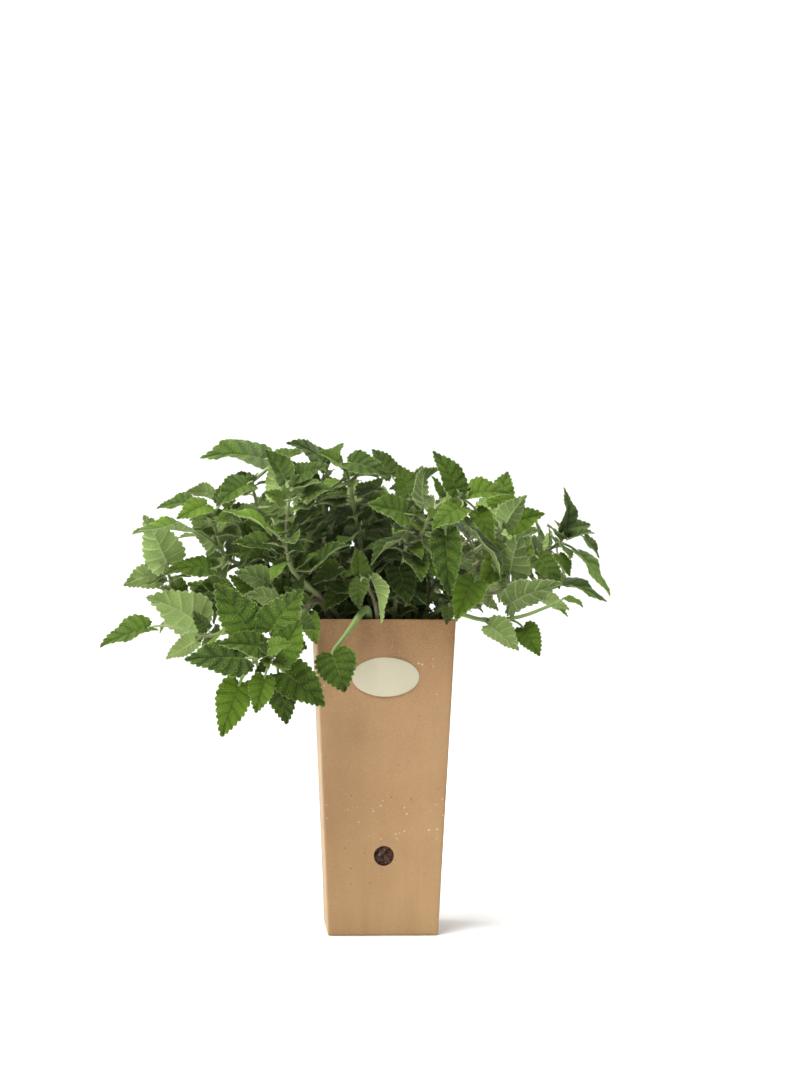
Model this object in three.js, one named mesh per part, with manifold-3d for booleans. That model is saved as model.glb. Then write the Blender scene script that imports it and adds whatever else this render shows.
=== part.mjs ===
// Catmint in a tall cardboard pot, in millimetres, +Z up, the origin at the centre of the pot's base.
// The front is -Y. Every leafy shoot is one solid: its square stem, its leaf stalks and its toothed blades.
import * as THREE from "three";
import { mergeVertices } from "three/addons/utils/BufferGeometryUtils.js";
import Module from "manifold-3d";

const wasm = await Module();
wasm.setup();

// ---- Driving dimensions ----
const RIM_WIDTH = 100; // outside, across the open top
const BASE_WIDTH = 79; // outside, across the base
const POT_HEIGHT = 226;
const BOARD = 1.5; // cardboard thickness
const FOLD = 1.6; // the flat that rounds each folded corner
const DRAIN = { radius: 7.2, height: 57, sides: 24 }; // the drain hole, low in the front face
const LABEL = { across: 48, high: 28, thick: 0.4, drop: 41, off: 0.2, sides: 32 }; // drop: below the rim
const GAP = 0.3; // between the pot and the soil
const SOIL = { drop: 11, relief: 1.3, cells: 4 }; // drop: rim to the soil's surface
const PLANTED = 12; // depth of each stem in the soil
const STEM_HOLE = 0.4; // space round a stem in its hole in the soil
const STEM = { low: 1.75, top: 0.95, steps: 1.4 }; // half its width at the soil and tip, steps per point
const STALK = { share: 0.42, least: 5, radius: 0.75, bow: 0.4, bends: 20 }; // over bends long it is curved
const BLADE = { thick: 1.2, toothOut: 0.035, toothIn: 0.02, middle: 0.42 };
const TEETH = [[38, 5], [32, 4], [20, 3], [0, 2]]; // over this length, teeth on each side
const BACK_TEETH = 3; // the most on a back leaf
const CLEAR = 2.8; // free space kept between blades, stalks and stems
const OVAL = { half: 0.42, at: 0.2, back: 0.14 }; // the plain oval round a unit blade, and where it is widest
const GUARD = { rows: 7, sides: 3, back: 0.06, stalk: 4 }; // spacing of the points that test a leaf's room
const PI = Math.PI;

// How a blade bends, in blade lengths: [middle, most either way] of its arch and of the fold at its midrib.
const FORM = { arch: [0.07, 0.04], fold: [0.2, 0.16], wave: 0.12, waves: 7 };

// How front leaves look for room: steps along the line of sight, and the turn added at each step.
const SEARCH = { tries: 23, step: 2.5, turn: 3 };

// How opposite leaves grow: the lean of stalk and blade along the stem, the blade's droop, how far its face
// turns outwards, and how loosely all of it is drawn, with more play and a smaller blade at each try.
const PAIR = {
  tries: 14,
  loose: 0.25,
  looser: 0.06,
  size: 0.12,
  smaller: 0.03,
  width: 0.1,
  twist: [0.4, 0.3],
  rise: 0.45,
  lean: 0.3,
  droop: 0.35,
  outward: 0.8,
  upright: 0.5,
};

// Right half of a heart-shaped blade of unit length, from the notch at its stalk to its tip.
const OUTLINE = [
  [0, 0],
  [-0.09, 0.1],
  [-0.12, 0.22],
  [-0.03, 0.33],
  [0.16, 0.385],
  [0.4, 0.345],
  [0.64, 0.235],
  [0.86, 0.1],
  [1, 0],
];

// The front shoots are drawn in perspective elevation: x and z are measured in the plane of the rim's
// front edge, from its middle, as they look from EYE, and depth is the true Y.
const EYE = new THREE.Vector3(-110, -1897, 287);

// Front shoots. root: where the stem leaves the soil. path: [x, z, depth] of the stem above the soil.
// leaves: [place on the path, stalk end x, z, depth, tip x, z, depth, turn, width], where turn is the angle
// in degrees from a blade whose upper face looks forward (0), up (90) or back (180).
// pairs: [place on the path, blade length] of opposite leaves that are set by rule.
const FRONT = [
  {
    name: "front_left",
    root: [-30, -22],
    path: [[-47, 12, -38], [-64, 0, -70], [-77, -20, -98], [-83, -28, -116]],
    leaves: [
      [1.6, -97, -10, -85, -122, 25, -80, 20, 0.95],
      [1.6, -82, -9, -88, -59, 21, -84, 15],
      [2.0, -99, -28, -90, -143, -29, -84, 30, 0.85],
      [2.1, -72, -38, -100, -43, -62, -96, 20],
      [1.7, -104, -47, -92, -116, -84, -80, 10, 0.8],
      [1.8, -76, -42, -92, -70, -75, -84, 10, 0.85],
      [2.6, -88, -21, -106, -119, -18, -112, 35, 0.85],
      [2.5, -74, -26, -100, -61, 0, -92, 10],
      [2.5, -86, -42, -102, -92, -67, -96, 10, 0.9],
      [2.9, -82, -21, -118, -67, -17, -126, 30],
      [2.9, -78, -29, -118, -67, -36, -124, 20],
      [2.95, -85, -32, -119, -93, -38, -125, 20],
    ],
    pairs: [],
  },
  {
    name: "over_rim",
    root: [-8, -32],
    path: [[-13, 5, -44], [-18, 4, -56], [-27, -9, -65], [-37, -22, -69]],
    leaves: [[2.95, -38, -25, -70, -29, -52, -67, 5, 1.35]],
    pairs: [],
  },
  {
    name: "left_low",
    root: [-36, -5],
    path: [[-50, 9, -7], [-84, 1, -18], [-115, -10, -26], [-131, -13, -30]],
    leaves: [
      [3.0, -168, -7, -26, -202, -21, -34, 60],
      [2.8, -131, -4, -16, -170, 15, -12, 150, 1.15],
      [3.0, -135, -16, -38, -156, -29, -42, 150, 0.85],
      [1.9, -108, 13, -22, -131, 25, -28, 30, 0.8],
      [2.2, -112, 12, -4, -141, 25, 4, 45],
    ],
    pairs: [[0.6, 22], [1.3, 26], [2.0, 28]],
  },
  {
    name: "left_mid",
    root: [-36, 4],
    path: [[-48, 14, 4], [-89, 18, 4], [-133, 10, 0], [-148, 14, -4], [-153, 28, -8], [-156, 36, -10]],
    leaves: [
      [4.9, -155, 39, -12, -172, 73, -6, 165, 1],
      [4.8, -160, 32, -15, -186, 23, -20, 150],
      [2.0, -112, 22, 8, -140, 14, 16, 150, 0.9],
    ],
    pairs: [[0.8, 24], [1.5, 28], [2.5, 26], [4.6, 14]],
  },
  {
    name: "left_up",
    root: [-34, 12],
    path: [[-46, 18, 12], [-72, 31, 8], [-101, 38, -4], [-114, 44, -10], [-120, 60, -13], [-124, 72, -15]],
    leaves: [
      [3.0, -143, 62, -22, -180, 59, -34, 80],
      [3.1, -120, 55, -3, -140, 76, 5, 165],
      [2.9, -124, 35, -26, -158, 31, -36, 50, 0.8],
      [2.2, -96, 52, -8, -110, 71, -2, 60, 0.9],
      [4.6, -140, 82, -8, -163, 77, -4, 60],
      [4.7, -128, 80, -22, -149, 70, -31, 40],
      [5.0, -122, 87, 2, -143, 89, 8, 130],
      [5.0, -117, 82, -16, -105, 99, -12, 20],
    ],
    pairs: [[0.7, 26], [1.4, 30]],
  },
  {
    name: "top_left",
    root: [-23, 5],
    path: [[-36, 18, 6], [-65, 42, 0], [-87, 67, -6], [-94, 88, -8], [-96, 97, -9]],
    leaves: [
      [4.0, -86, 113, 15, -133, 113, 9, 62, 1.1],
      [3.9, -99, 95, -20, -121, 79, -30, 40],
      [3.9, -79, 110, -6, -57, 121, 0, 60],
      [2.5, -77, 87, -18, -83, 110, -13, 160],
    ],
    pairs: [[0.6, 24], [1.3, 26]],
  },
  {
    name: "centre_left",
    root: [-17, -16],
    path: [[-38, 7, -34], [-53, 21, -46], [-66, 34, -52], [-70, 46, -54], [-71, 63, -54], [-70, 80, -52], [-67, 94, -50]],
    leaves: [
      [2.0, -85, 64, -56, -116, 76, -60, 75],
      [2.1, -51, 36, -58, -26, 53, -66, 70],
      [5.8, -72, 99, -48, -87, 120, -42, 140],
      [5.8, -63, 101, -52, -44, 108, -58, 40],
      [5.2, -58, 88, -58, -38, 92, -66, 50],
      [5.3, -74, 84, -60, -87, 90, -66, 30],
      [0.8, -66, 12, -46, -84, 30, -50, 30, 0.9],
    ],
    pairs: [[3.6, 22]],
  },
  {
    name: "left_inner",
    root: [-26, -8],
    path: [[-44, 13, -16], [-62, 25, -24], [-74, 34, -30], [-78, 42, -32]],
    leaves: [
      [2.9, -82, 49, -32, -110, 53, -40, 60],
      [2.4, -82, 25, -34, -108, 33, -40, 150],
      [1.6, -76, 13, -30, -101, 17, -34, 120],
      [1.9, -89, 19, -42, -112, 31, -48, 30, 0.8],
      [1.2, -65, 24, -34, -88, 38, -40, 40, 0.8],
      [0.9, -80, 10, -24, -102, 24, -26, 40, 0.9],
    ],
    pairs: [[2.9, 12]],
  },
  {
    name: "top_mid_left",
    root: [-10, 10],
    path: [[-24, 21, 12], [-38, 56, 4], [-46, 84, 0], [-45, 104, -4]],
    leaves: [
      [3.0, -44, 110, -8, -72, 125, -16, 55],
      [3.0, -40, 112, -2, -31, 125, 8, 50],
      [2.6, -50, 97, -12, -66, 108, -20, 60],
    ],
    pairs: [[0.5, 22], [1.2, 26], [2.1, 24]],
  },
  {
    name: "top_mid",
    root: [-3, -3],
    path: [[-11, 21, -6], [-19, 56, -14], [-25, 88, -22], [-29, 106, -26]],
    leaves: [
      [3.0, -27, 111, -30, 1, 101, -40, 45],
      [3.0, -34, 110, -30, -50, 118, -38, 50],
    ],
    pairs: [[0.4, 22], [1.0, 26], [1.7, 26], [2.4, 22]],
  },
  {
    name: "top_centre",
    root: [6, 8],
    path: [[2, 21, 8], [6, 56, 6], [11, 84, 2], [12, 94, 0]],
    leaves: [
      [3.0, 3, 102, 4, -11, 121, 12, 30],
      [3.0, 16, 89, -8, 8, 110, 0, 165, 1.2],
      [3.0, 20, 96, 6, 39, 107, 14, 120],
    ],
    pairs: [[0.5, 24], [1.2, 26], [2.0, 24]],
  },
  {
    name: "centre_front",
    root: [4, -26],
    path: [[7, 15, -36], [12, 42, -50], [16, 63, -58], [20, 75, -62]],
    leaves: [
      [2.9, 13, 75, -66, -14, 82, -74, 40, 1.1],
      [2.0, 9, 56, -62, -11, 38, -68, 75],
      [0.8, 9, 36, -44, 16, 10, -46, 15],
      [3.0, 26, 81, -60, 28, 109, -50, 110],
    ],
    pairs: [[0.6, 20], [1.2, 24]],
  },
  {
    name: "top_right",
    root: [15, -16],
    path: [[18, 20, -34], [23, 56, -58], [35, 79, -70], [46, 85, -74], [54, 88, -76]],
    leaves: [
      [4.0, 50, 92, -78, 32, 120, -72, 25, 0.75],
      [4.0, 59, 89, -80, 88, 89, -86, 50],
      [3.5, 53, 80, -84, 32, 64, -92, 40],
      [3.1, 42, 61, -92, 45, 16, -88, -15, 0.65],
      [3.6, 64, 77, -84, 76, 54, -90, 10, 0.75],
      [2.7, 60, 62, -76, 82, 28, -86, 75, 0.8],
      [1.0, 36, 42, -52, 52, 20, -54, 20, 0.9],
    ],
    pairs: [[0.5, 20], [1.2, 22]],
  },
  {
    name: "right_up",
    root: [22, 0],
    path: [[31, 20, -6], [58, 45, -20], [77, 59, -34], [84, 66, -40]],
    leaves: [
      [3.0, 85, 69, -40, 100, 89, -36, 160],
      [3.0, 88, 68, -46, 113, 76, -54, 60],
      [2.5, 80, 82, -22, 86, 106, -14, 20],
      [0.5, 40, 28, -16, 54, 8, -22, 30],
    ],
    pairs: [[0.5, 24], [1.2, 28], [2.0, 24]],
  },
  {
    name: "right_far",
    root: [34, 4],
    path: [[44, 18, 3], [80, 34, -4], [107, 46, -12], [122, 54, -16], [127, 60, -17]],
    leaves: [
      [4.0, 127, 65, -18, 126, 95, -14, 60],
      [3.9, 131, 58, -21, 149, 62, -27, 70],
      [4.0, 133, 66, -10, 146, 68, -2, 50],
      [3.2, 138, 47, -24, 160, 17, -34, 70],
      [3.6, 142, 58, -6, 152, 44, 0, 60],
      [3.0, 123, 46, -27, 131, 31, -32, 40],
    ],
    pairs: [[1.4, 28], [2.2, 28]],
  },
  {
    name: "right_mid",
    root: [34, -8],
    path: [[45, 12, -12], [80, 20, -22], [109, 28, -27], [121, 30, -28]],
    leaves: [
      [3.0, 124, 28, -32, 158, 13, -42, 60],
      [1.4, 88, 34, -46, 96, 62, -40, 170, 1.25],
      [1.1, 82, 42, -30, 67, 22, -38, 20],
      [2.4, 108, 44, -26, 124, 22, -30, 30, 0.9],
      [2.2, 114, 15, -36, 131, 7, -40, 130],
      [1.6, 88, 12, -42, 126, 26, -46, 150, 0.9],
    ],
    pairs: [[1.0, 24]],
  },
  {
    name: "right_low",
    root: [24, -22],
    path: [[37, 7, -40], [53, 4, -50], [70, 0, -55], [94, 2, -57], [114, 9, -57], [125, 14, -57]],
    leaves: [
      [2.0, 74, -4, -60, 95, -22, -64, 150],
      [2.2, 98, -6, -58, 110, -26, -62, 20],
      [5.0, 129, 16, -59, 141, 9, -66, 60],
      [4.9, 121, 8, -62, 130, 2, -68, 70],
      [0.6, 63, 27, -66, 50, 0, -66, 30],
      [0.4, 45, 9, -58, 43, -4, -60, 10],
    ],
    pairs: [],
  },
  {
    name: "low_left",
    root: [-12, -10],
    path: [[-20, 14, -24], [-31, 30, -34], [-37, 44, -40]],
    leaves: [
      [0.7, -30, 22, -38, -44, 6, -42, 30],
      [0.5, -22, 16, -34, -10, 34, -36, 40],
      [1.2, -34, 36, -44, -52, 24, -48, 45],
    ],
    pairs: [[1.4, 24], [2, 18]],
  },
  {
    name: "low_mid",
    root: [10, -12],
    path: [[12, 16, -22], [18, 34, -32], [22, 50, -38]],
    leaves: [
      [0.6, 14, 24, -26, -2, 36, -30, 40],
      [0.3, 20, 10, -24, 28, 30, -30, 20],
    ],
    pairs: [[1.3, 26], [2, 18]],
  },
  {
    name: "front_centre",
    root: [-2, -38],
    path: [[-8, 11, -45], [-12, 21, -50], [-13, 27, -53]],
    leaves: [
      [2.0, -10, 28, -58, -4, -3, -60, 110],
      [2.0, -18, 27, -52, -19, 7, -52, 20],
      [1.9, -19, 32, -52, -22, 51, -48, 30],
      [1.9, -7, 32, -54, 5, 43, -60, 60],
    ],
    pairs: [],
  },
];

// Back shoots, set by rule: [root x, root y, bearing anticlockwise from +X in degrees, reach, height, drop of
// the tip].
const BACK = [
  [35, 10, 14, 112, 48, 8],
  [29, 20, 36, 116, 62, 14],
  [19, 29, 58, 116, 70, 16],
  [5, 34, 80, 112, 74, 18],
  [-9, 33, 102, 118, 72, 22],
  [-20, 31, 122, 122, 68, 18],
  [-28, 26, 142, 126, 64, 14],
  [-33, 19, 162, 128, 56, 10],
  [8, 19, 66, 62, 76, 4],
  [-5, 21, 108, 64, 84, 4],
  [-18, 17, 142, 74, 88, 4],
];
const BACK_PAIRS = [[0.25, 26], [0.65, 27], [1.15, 28], [1.7, 30], [2.25, 34], [2.8, 26]];

// Low back shoots, which lean out over the rim below the others.
const LOW_BACK = [
  [40, 32, 42, 96, 26, 12],
  [16, 42, 70, 88, 30, 10],
  [-4, 41, 96, 88, 30, 12],
  [-21, 42, 116, 92, 32, 12],
  [-42, 30, 146, 100, 26, 12],
];
const LOW_PAIRS = [[0.35, 24], [1.0, 28], [1.7, 30], [2.4, 28], [3.0, 20]];

// ---- Small tools ----
const vec = (x, y, z) => new THREE.Vector3(x, y, z);
const UP = vec(0, 0, 1);
const FORWARD = vec(0, -1, 0);
const mix = (a, b, share) => a + (b - a) * share;

// The same seeded draws every time: each call gives a number from -1 to 1.
let seed = 20288;
function draw() {
  seed = (Math.imul(seed, 1664525) + 1013904223) >>> 0;
  return (seed / 4294967296) * 2 - 1;
}

const near = ([middle, range]) => middle + range * draw();

// A smooth curve through the points, read at place 0 to the number of points less one.
function along(points, place) {
  const last = points.length - 1;
  const i = Math.min(Math.floor(place), last - 1);
  const t = place - i;
  const [a, b, c, d] = [i - 1, i, i + 1, i + 2].map((k) => points[Math.min(Math.max(k, 0), last)]);
  return b.map((_, n) => {
    const bend = 2 * a[n] - 5 * b[n] + 4 * c[n] - d[n];
    const turn = 3 * (b[n] - c[n]) + d[n] - a[n];
    return b[n] + 0.5 * t * (c[n] - a[n] + t * (bend + t * turn));
  });
}

// The point at this depth on the line of sight from EYE through (x, z) of the rim's front plane.
function seen(x, z, depth) {
  const front = vec(x, -RIM_WIDTH / 2, POT_HEIGHT + z);
  const share = (depth - EYE.y) / (front.y - EYE.y);
  return EYE.clone().lerp(front, share);
}

function geometryOf(points, triangles) {
  const geometry = new THREE.BufferGeometry();
  geometry.setAttribute("position", new THREE.Float32BufferAttribute(points.flatMap((p) => p.toArray()), 3));
  geometry.setIndex(triangles.flat());
  return geometry;
}

function solidOf(geometry) {
  const bare = geometry.clone();
  bare.deleteAttribute("normal");
  bare.deleteAttribute("uv");
  const merged = mergeVertices(bare, 1e-4);
  const mesh = new wasm.Mesh({
    numProp: 3,
    vertProperties: merged.attributes.position.array,
    triVerts: new Uint32Array(merged.index.array),
  });
  return new wasm.Manifold(mesh);
}

function geometryFrom(solid) {
  const mesh = solid.getMesh();
  const geometry = new THREE.BufferGeometry();
  geometry.setAttribute("position", new THREE.Float32BufferAttribute(mesh.vertProperties, 3));
  geometry.setIndex(new THREE.BufferAttribute(mesh.triVerts, 1));
  geometry.computeVertexNormals();
  return geometry;
}

// A closed skin over rings of equal count, each anticlockwise as seen from the last ring's side.
function loft(rings) {
  const count = rings[0].length;
  const triangles = [];
  for (let r = 0; r + 1 < rings.length; r++) {
    for (let i = 0; i < count; i++) {
      const [a, b] = [r * count + i, r * count + ((i + 1) % count)];
      triangles.push([a, b, b + count], [a, b + count, a + count]);
    }
  }
  const top = (rings.length - 1) * count;
  for (let i = 1; i + 1 < count; i++) triangles.push([0, i + 1, i], [top, top + i, top + i + 1]);
  return geometryOf(rings.flat(), triangles);
}

// ---- Pot, soil and label ----
const halfWidthAt = (z) => mix(BASE_WIDTH, RIM_WIDTH, z / POT_HEIGHT) / 2;

// The pot's square outline at height z, moved inwards by inset, with its corners cut by fold.
function potRing(z, inset, fold) {
  const h = halfWidthAt(z) - inset;
  const c = h - fold;
  const corners = [[h, -c], [h, c], [c, h], [-c, h], [-h, c], [-h, -c], [-c, -h], [c, -h]];
  return corners.map(([x, y]) => vec(x, y, z));
}

function potSolid() {
  const shell = solidOf(loft([potRing(0, 0, FOLD), potRing(POT_HEIGHT, 0, FOLD)]));
  const above = POT_HEIGHT + 1;
  const hollow = solidOf(loft([potRing(BOARD, BOARD, FOLD), potRing(above, BOARD, FOLD)]));
  const drill = new THREE.CylinderGeometry(DRAIN.radius, DRAIN.radius, RIM_WIDTH, DRAIN.sides);
  drill.translate(0, -RIM_WIDTH / 2, DRAIN.height);
  return shell.subtract(hollow).subtract(solidOf(drill));
}

const SOIL_TOP = POT_HEIGHT - SOIL.drop;
const soilRelief = (x, y) => SOIL.relief * Math.sin(x * 0.21 + 1) * Math.cos(y * 0.17 + x * 0.05);

// Potting soil: it fills the pot to a little under the rim, with a plain hole for each stem.
function soilSolid(shoots) {
  const block = new THREE.BoxGeometry(2, 2, 1, SOIL.cells, SOIL.cells, 1);
  const spots = block.attributes.position;
  for (let i = 0; i < spots.count; i++) {
    const isTop = spots.getZ(i) > 0;
    const z = isTop ? SOIL_TOP : BOARD + GAP;
    const half = halfWidthAt(z) - BOARD - GAP;
    const [x, y] = [spots.getX(i) * half, spots.getY(i) * half];
    spots.setXYZ(i, x, y, isTop ? z + soilRelief(x, y) : z);
  }
  const inside = solidOf(loft([potRing(0, BOARD + GAP, FOLD), potRing(POT_HEIGHT, BOARD + GAP, FOLD)]));
  const holes = shoots.map((shoot) => solidOf(stemSkin(shoot, STEM_HOLE, 1)));
  return solidOf(block).intersect(inside).subtract(wasm.Manifold.union(holes));
}

function labelMesh(material) {
  const oval = new THREE.CylinderGeometry(0.5, 0.5, LABEL.thick, LABEL.sides);
  oval.scale(LABEL.across, 1, LABEL.high);
  const label = new THREE.Mesh(oval, material);
  const lean = Math.atan2((RIM_WIDTH - BASE_WIDTH) / 2, POT_HEIGHT);
  const z = POT_HEIGHT - LABEL.drop;
  label.rotation.x = lean;
  label.position.set(0, -halfWidthAt(z) - LABEL.off - LABEL.thick / 2, z);
  label.name = "label";
  return label;
}

// ---- Stems ----
function shootList() {
  const front = FRONT.map((shoot) => ({
    name: shoot.name,
    root: shoot.root,
    path: shoot.path.map(([x, z, depth]) => seen(x, z, depth).toArray()),
    rows: shoot.leaves,
    pairs: shoot.pairs,
    mostTeeth: TEETH[0][1],
  }));
  const high = BACK.map((row, i) => backShoot(`back_${i + 1}`, row, BACK_PAIRS));
  const low = LOW_BACK.map((row, i) => backShoot(`low_back_${i + 1}`, row, LOW_PAIRS));
  return [...front, ...high, ...low].map((shoot) => {
    const [x, y] = shoot.root;
    const points = [[x, y, SOIL_TOP - PLANTED], ...shoot.path];
    return { ...shoot, line: centreLine(points), span: points.length - 1, leaves: [] };
  });
}

function backShoot(name, [x, y, bearing, reach, height, drop], pairs) {
  const angle = (bearing * PI) / 180;
  const [endX, endY] = [reach * Math.cos(angle), reach * Math.sin(angle)];
  const out = (share, z) => [mix(x, endX, share), mix(y, endY, share), POT_HEIGHT + z];
  const path = [out(0.14, height * 0.3), out(0.45, height * 0.78), out(0.78, height), out(1, height - drop)];
  return { name, root: [x, y], path, rows: [], pairs, mostTeeth: BACK_TEETH };
}

// A stem's centre line, in even steps along the smooth curve through its points.
function centreLine(points) {
  const last = points.length - 1;
  const steps = Math.round(last * STEM.steps);
  return Array.from({ length: steps + 1 }, (_, s) => vec(...along(points, (last * s) / steps)));
}

// The point of the stem at a place on its path, and the stem's direction there.
function onStem(shoot, place) {
  const spot = Math.min((place + 1) / shoot.span, 1) * (shoot.line.length - 1);
  const i = Math.min(Math.floor(spot), shoot.line.length - 2);
  const tangent = shoot.line[i + 1].clone().sub(shoot.line[i]).normalize();
  return { point: shoot.line[i].clone().lerp(shoot.line[i + 1], spot - i), tangent };
}

// A square tube round the first steps of the stem, or all of them, thicker by extra.
function stemSkin(shoot, extra = 0, steps = shoot.line.length - 1) {
  const rings = [];
  let side = vec(1, 0, 0);
  for (let s = 0; s <= steps; s++) {
    const centre = shoot.line[s].clone();
    const ahead = shoot.line[Math.min(s + 1, shoot.line.length - 1)];
    const tangent = ahead.clone().sub(shoot.line[Math.max(s - 1, 0)]).normalize();
    side = side.clone().addScaledVector(tangent, -side.dot(tangent)).normalize();
    const other = tangent.clone().cross(side);
    const r = mix(STEM.low, STEM.top, s / (shoot.line.length - 1)) + extra;
    if (s === 0) centre.z -= extra;
    const corner = (a, b) => centre.clone().addScaledVector(side, a * r).addScaledVector(other, b * r);
    rings.push([corner(1, -1), corner(1, 1), corner(-1, 1), corner(-1, -1)]);
  }
  return loft(rings);
}

// ---- Leaves ----
// Height of a blade's surface over its chord, in blade lengths, at x along it and y across it.
function relief(leaf, x, y) {
  const side = Math.abs(y);
  const wave = FORM.wave * Math.sin(FORM.waves * x + leaf.phase);
  return leaf.arch * 4 * x * (1 - x) + side * (leaf.fold + wave);
}

const onBlade = (leaf, x, y, lift = 0) =>
  leaf.base
    .clone()
    .addScaledVector(leaf.along, x * leaf.length)
    .addScaledVector(leaf.across, y * leaf.length)
    .addScaledVector(leaf.up, relief(leaf, x, y) * leaf.length + lift);

// A leaf from the end of its stalk to its tip, with its upper face towards up.
function makeLeaf(stemPoint, base, tip, up, width) {
  const chord = tip.clone().sub(base);
  const length = chord.length();
  const forward = chord.normalize();
  const normal = up.clone().addScaledVector(forward, -up.dot(forward)).normalize();
  const leaf = { base, along: forward, up: normal, across: normal.clone().cross(forward), length, width };
  leaf.arch = near(FORM.arch);
  leaf.fold = near(FORM.fold);
  leaf.phase = PI * draw();
  const bow = base.distanceTo(stemPoint) * STALK.bow;
  leaf.stalk = [stemPoint, base.clone().addScaledVector(forward, -bow), base];
  return leaf;
}

// A point on the stalk's curve, from the stem (0) to the blade (1).
function onStalk(leaf, t) {
  const [a, b, c] = leaf.stalk;
  return a.clone().multiplyScalar((1 - t) ** 2).addScaledVector(b, 2 * t * (1 - t)).addScaledVector(c, t * t);
}

// The upper face's direction for a front leaf: turn 0 looks forward, 90 up and 180 back.
function facing(base, tip, turn) {
  const forward = tip.clone().sub(base).normalize();
  const front = FORWARD.clone().addScaledVector(forward, -FORWARD.dot(forward)).normalize();
  const above = forward.clone().cross(front);
  if (above.z < 0) above.negate();
  const angle = (turn * PI) / 180;
  return front.multiplyScalar(Math.cos(angle)).addScaledVector(above, Math.sin(angle));
}

// ---- Keeping leaves clear of each other ----
// Half the width of a plain oval round the toothed outline, at x along a unit blade.
function halfBlade(x) {
  const { half, at, back } = OVAL;
  const share = x > at ? ((x - at) / (1 - at)) ** 2 : ((at - x) / (at + back)) ** 4;
  return half * Math.max(1 - share, 0);
}

// Whether the point lies within gap of the leaf's blade.
function nearBlade(leaf, point, gap) {
  const d = point.clone().sub(leaf.base).divideScalar(leaf.length);
  const g = gap / leaf.length;
  const [x, y, z] = [d.dot(leaf.along), d.dot(leaf.across), d.dot(leaf.up)];
  if (x < -OVAL.back - g || x > 1 + g) return false;
  if (Math.abs(y) > leaf.width * halfBlade(x) + g) return false;
  return Math.abs(z - relief(leaf, x, y)) < g;
}

// Points spread over a blade and along its stalk.
function guardPoints(leaf) {
  const blade = [];
  for (let i = 0; i <= GUARD.rows; i++) {
    const x = mix(-GUARD.back, 1, i / GUARD.rows);
    const half = leaf.width * halfBlade(x);
    for (let k = -GUARD.sides; k <= GUARD.sides; k++) blade.push(onBlade(leaf, x, (half * k) / GUARD.sides));
  }
  const reach = leaf.base.distanceTo(leaf.stalk[0]);
  const steps = Math.max(2, Math.ceil(reach / GUARD.stalk));
  const stalk = [];
  for (let s = 1; s < steps; s++) stalk.push(onStalk(leaf, s / steps));
  return { blade, stalk };
}

const potReach = (p, room) => Math.max(Math.abs(p.x), Math.abs(p.y)) - halfWidthAt(p.z) - room;

// Whether a point would be in the pot's wall or in its soil.
function inPot(p) {
  if (p.z > POT_HEIGHT + 2 || p.z < 0 || potReach(p, 2.5) > 0) return false;
  return potReach(p, -BOARD - 3) > 0 || p.z < SOIL_TOP + 4;
}

function isClear(leaf, shoot, placed, stems) {
  const { blade, stalk } = leaf.guards;
  if (blade.some(inPot) || stalk.slice(1).some(inPot)) return false;
  const reach = leaf.length * 1.1 + CLEAR;
  for (const other of placed) {
    if (leaf.base.distanceTo(other.base) > reach + 1.1 * other.length + 60) continue;
    if (blade.some((p) => nearBlade(other, p, CLEAR))) return false;
    if (other.guards.blade.some((p) => nearBlade(leaf, p, CLEAR))) return false;
    if (stalk.some((p) => nearBlade(other, p, CLEAR))) return false;
    if (other.guards.stalk.some((p) => nearBlade(leaf, p, CLEAR))) return false;
    const touches = (p) => other.guards.stalk.some((q) => p.distanceTo(q) < CLEAR);
    if (other.shoot !== shoot && stalk.some(touches)) return false;
  }
  for (const stem of stems) {
    const own = stem.shoot === shoot;
    if (stem.spots.some((p) => nearBlade(leaf, p, own ? CLEAR : CLEAR + 1))) return false;
    if (!own && stalk.some((p) => stem.spots.some((q) => p.distanceTo(q) < CLEAR + 1))) return false;
  }
  return true;
}

// ---- Placing the leaves ----
function keepIfClear(leaf, shoot, placed, stems) {
  leaf.shoot = shoot;
  leaf.guards = guardPoints(leaf);
  if (!isClear(leaf, shoot, placed, stems)) return false;
  placed.push(leaf);
  shoot.leaves.push(leaf);
  return true;
}

// A front leaf holds its outline as seen from EYE, and moves along the line of sight until it is clear.
function placeRow(row, shoot, placed, stems) {
  const [place, bx, bz, by, tx, tz, ty, turn, width = 1] = row;
  const { point } = onStem(shoot, place);
  for (let k = 0; k < SEARCH.tries; k++) {
    const shift = Math.ceil(k / 2) * SEARCH.step * (k % 2 ? -1 : 1);
    const [base, tip] = [seen(bx, bz, by + shift), seen(tx, tz, ty + shift)];
    const up = facing(base, tip, turn + SEARCH.turn * k * draw());
    const leaf = makeLeaf(point, base, tip, up, width);
    if (keepIfClear(leaf, shoot, placed, stems)) return;
  }
}

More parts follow.
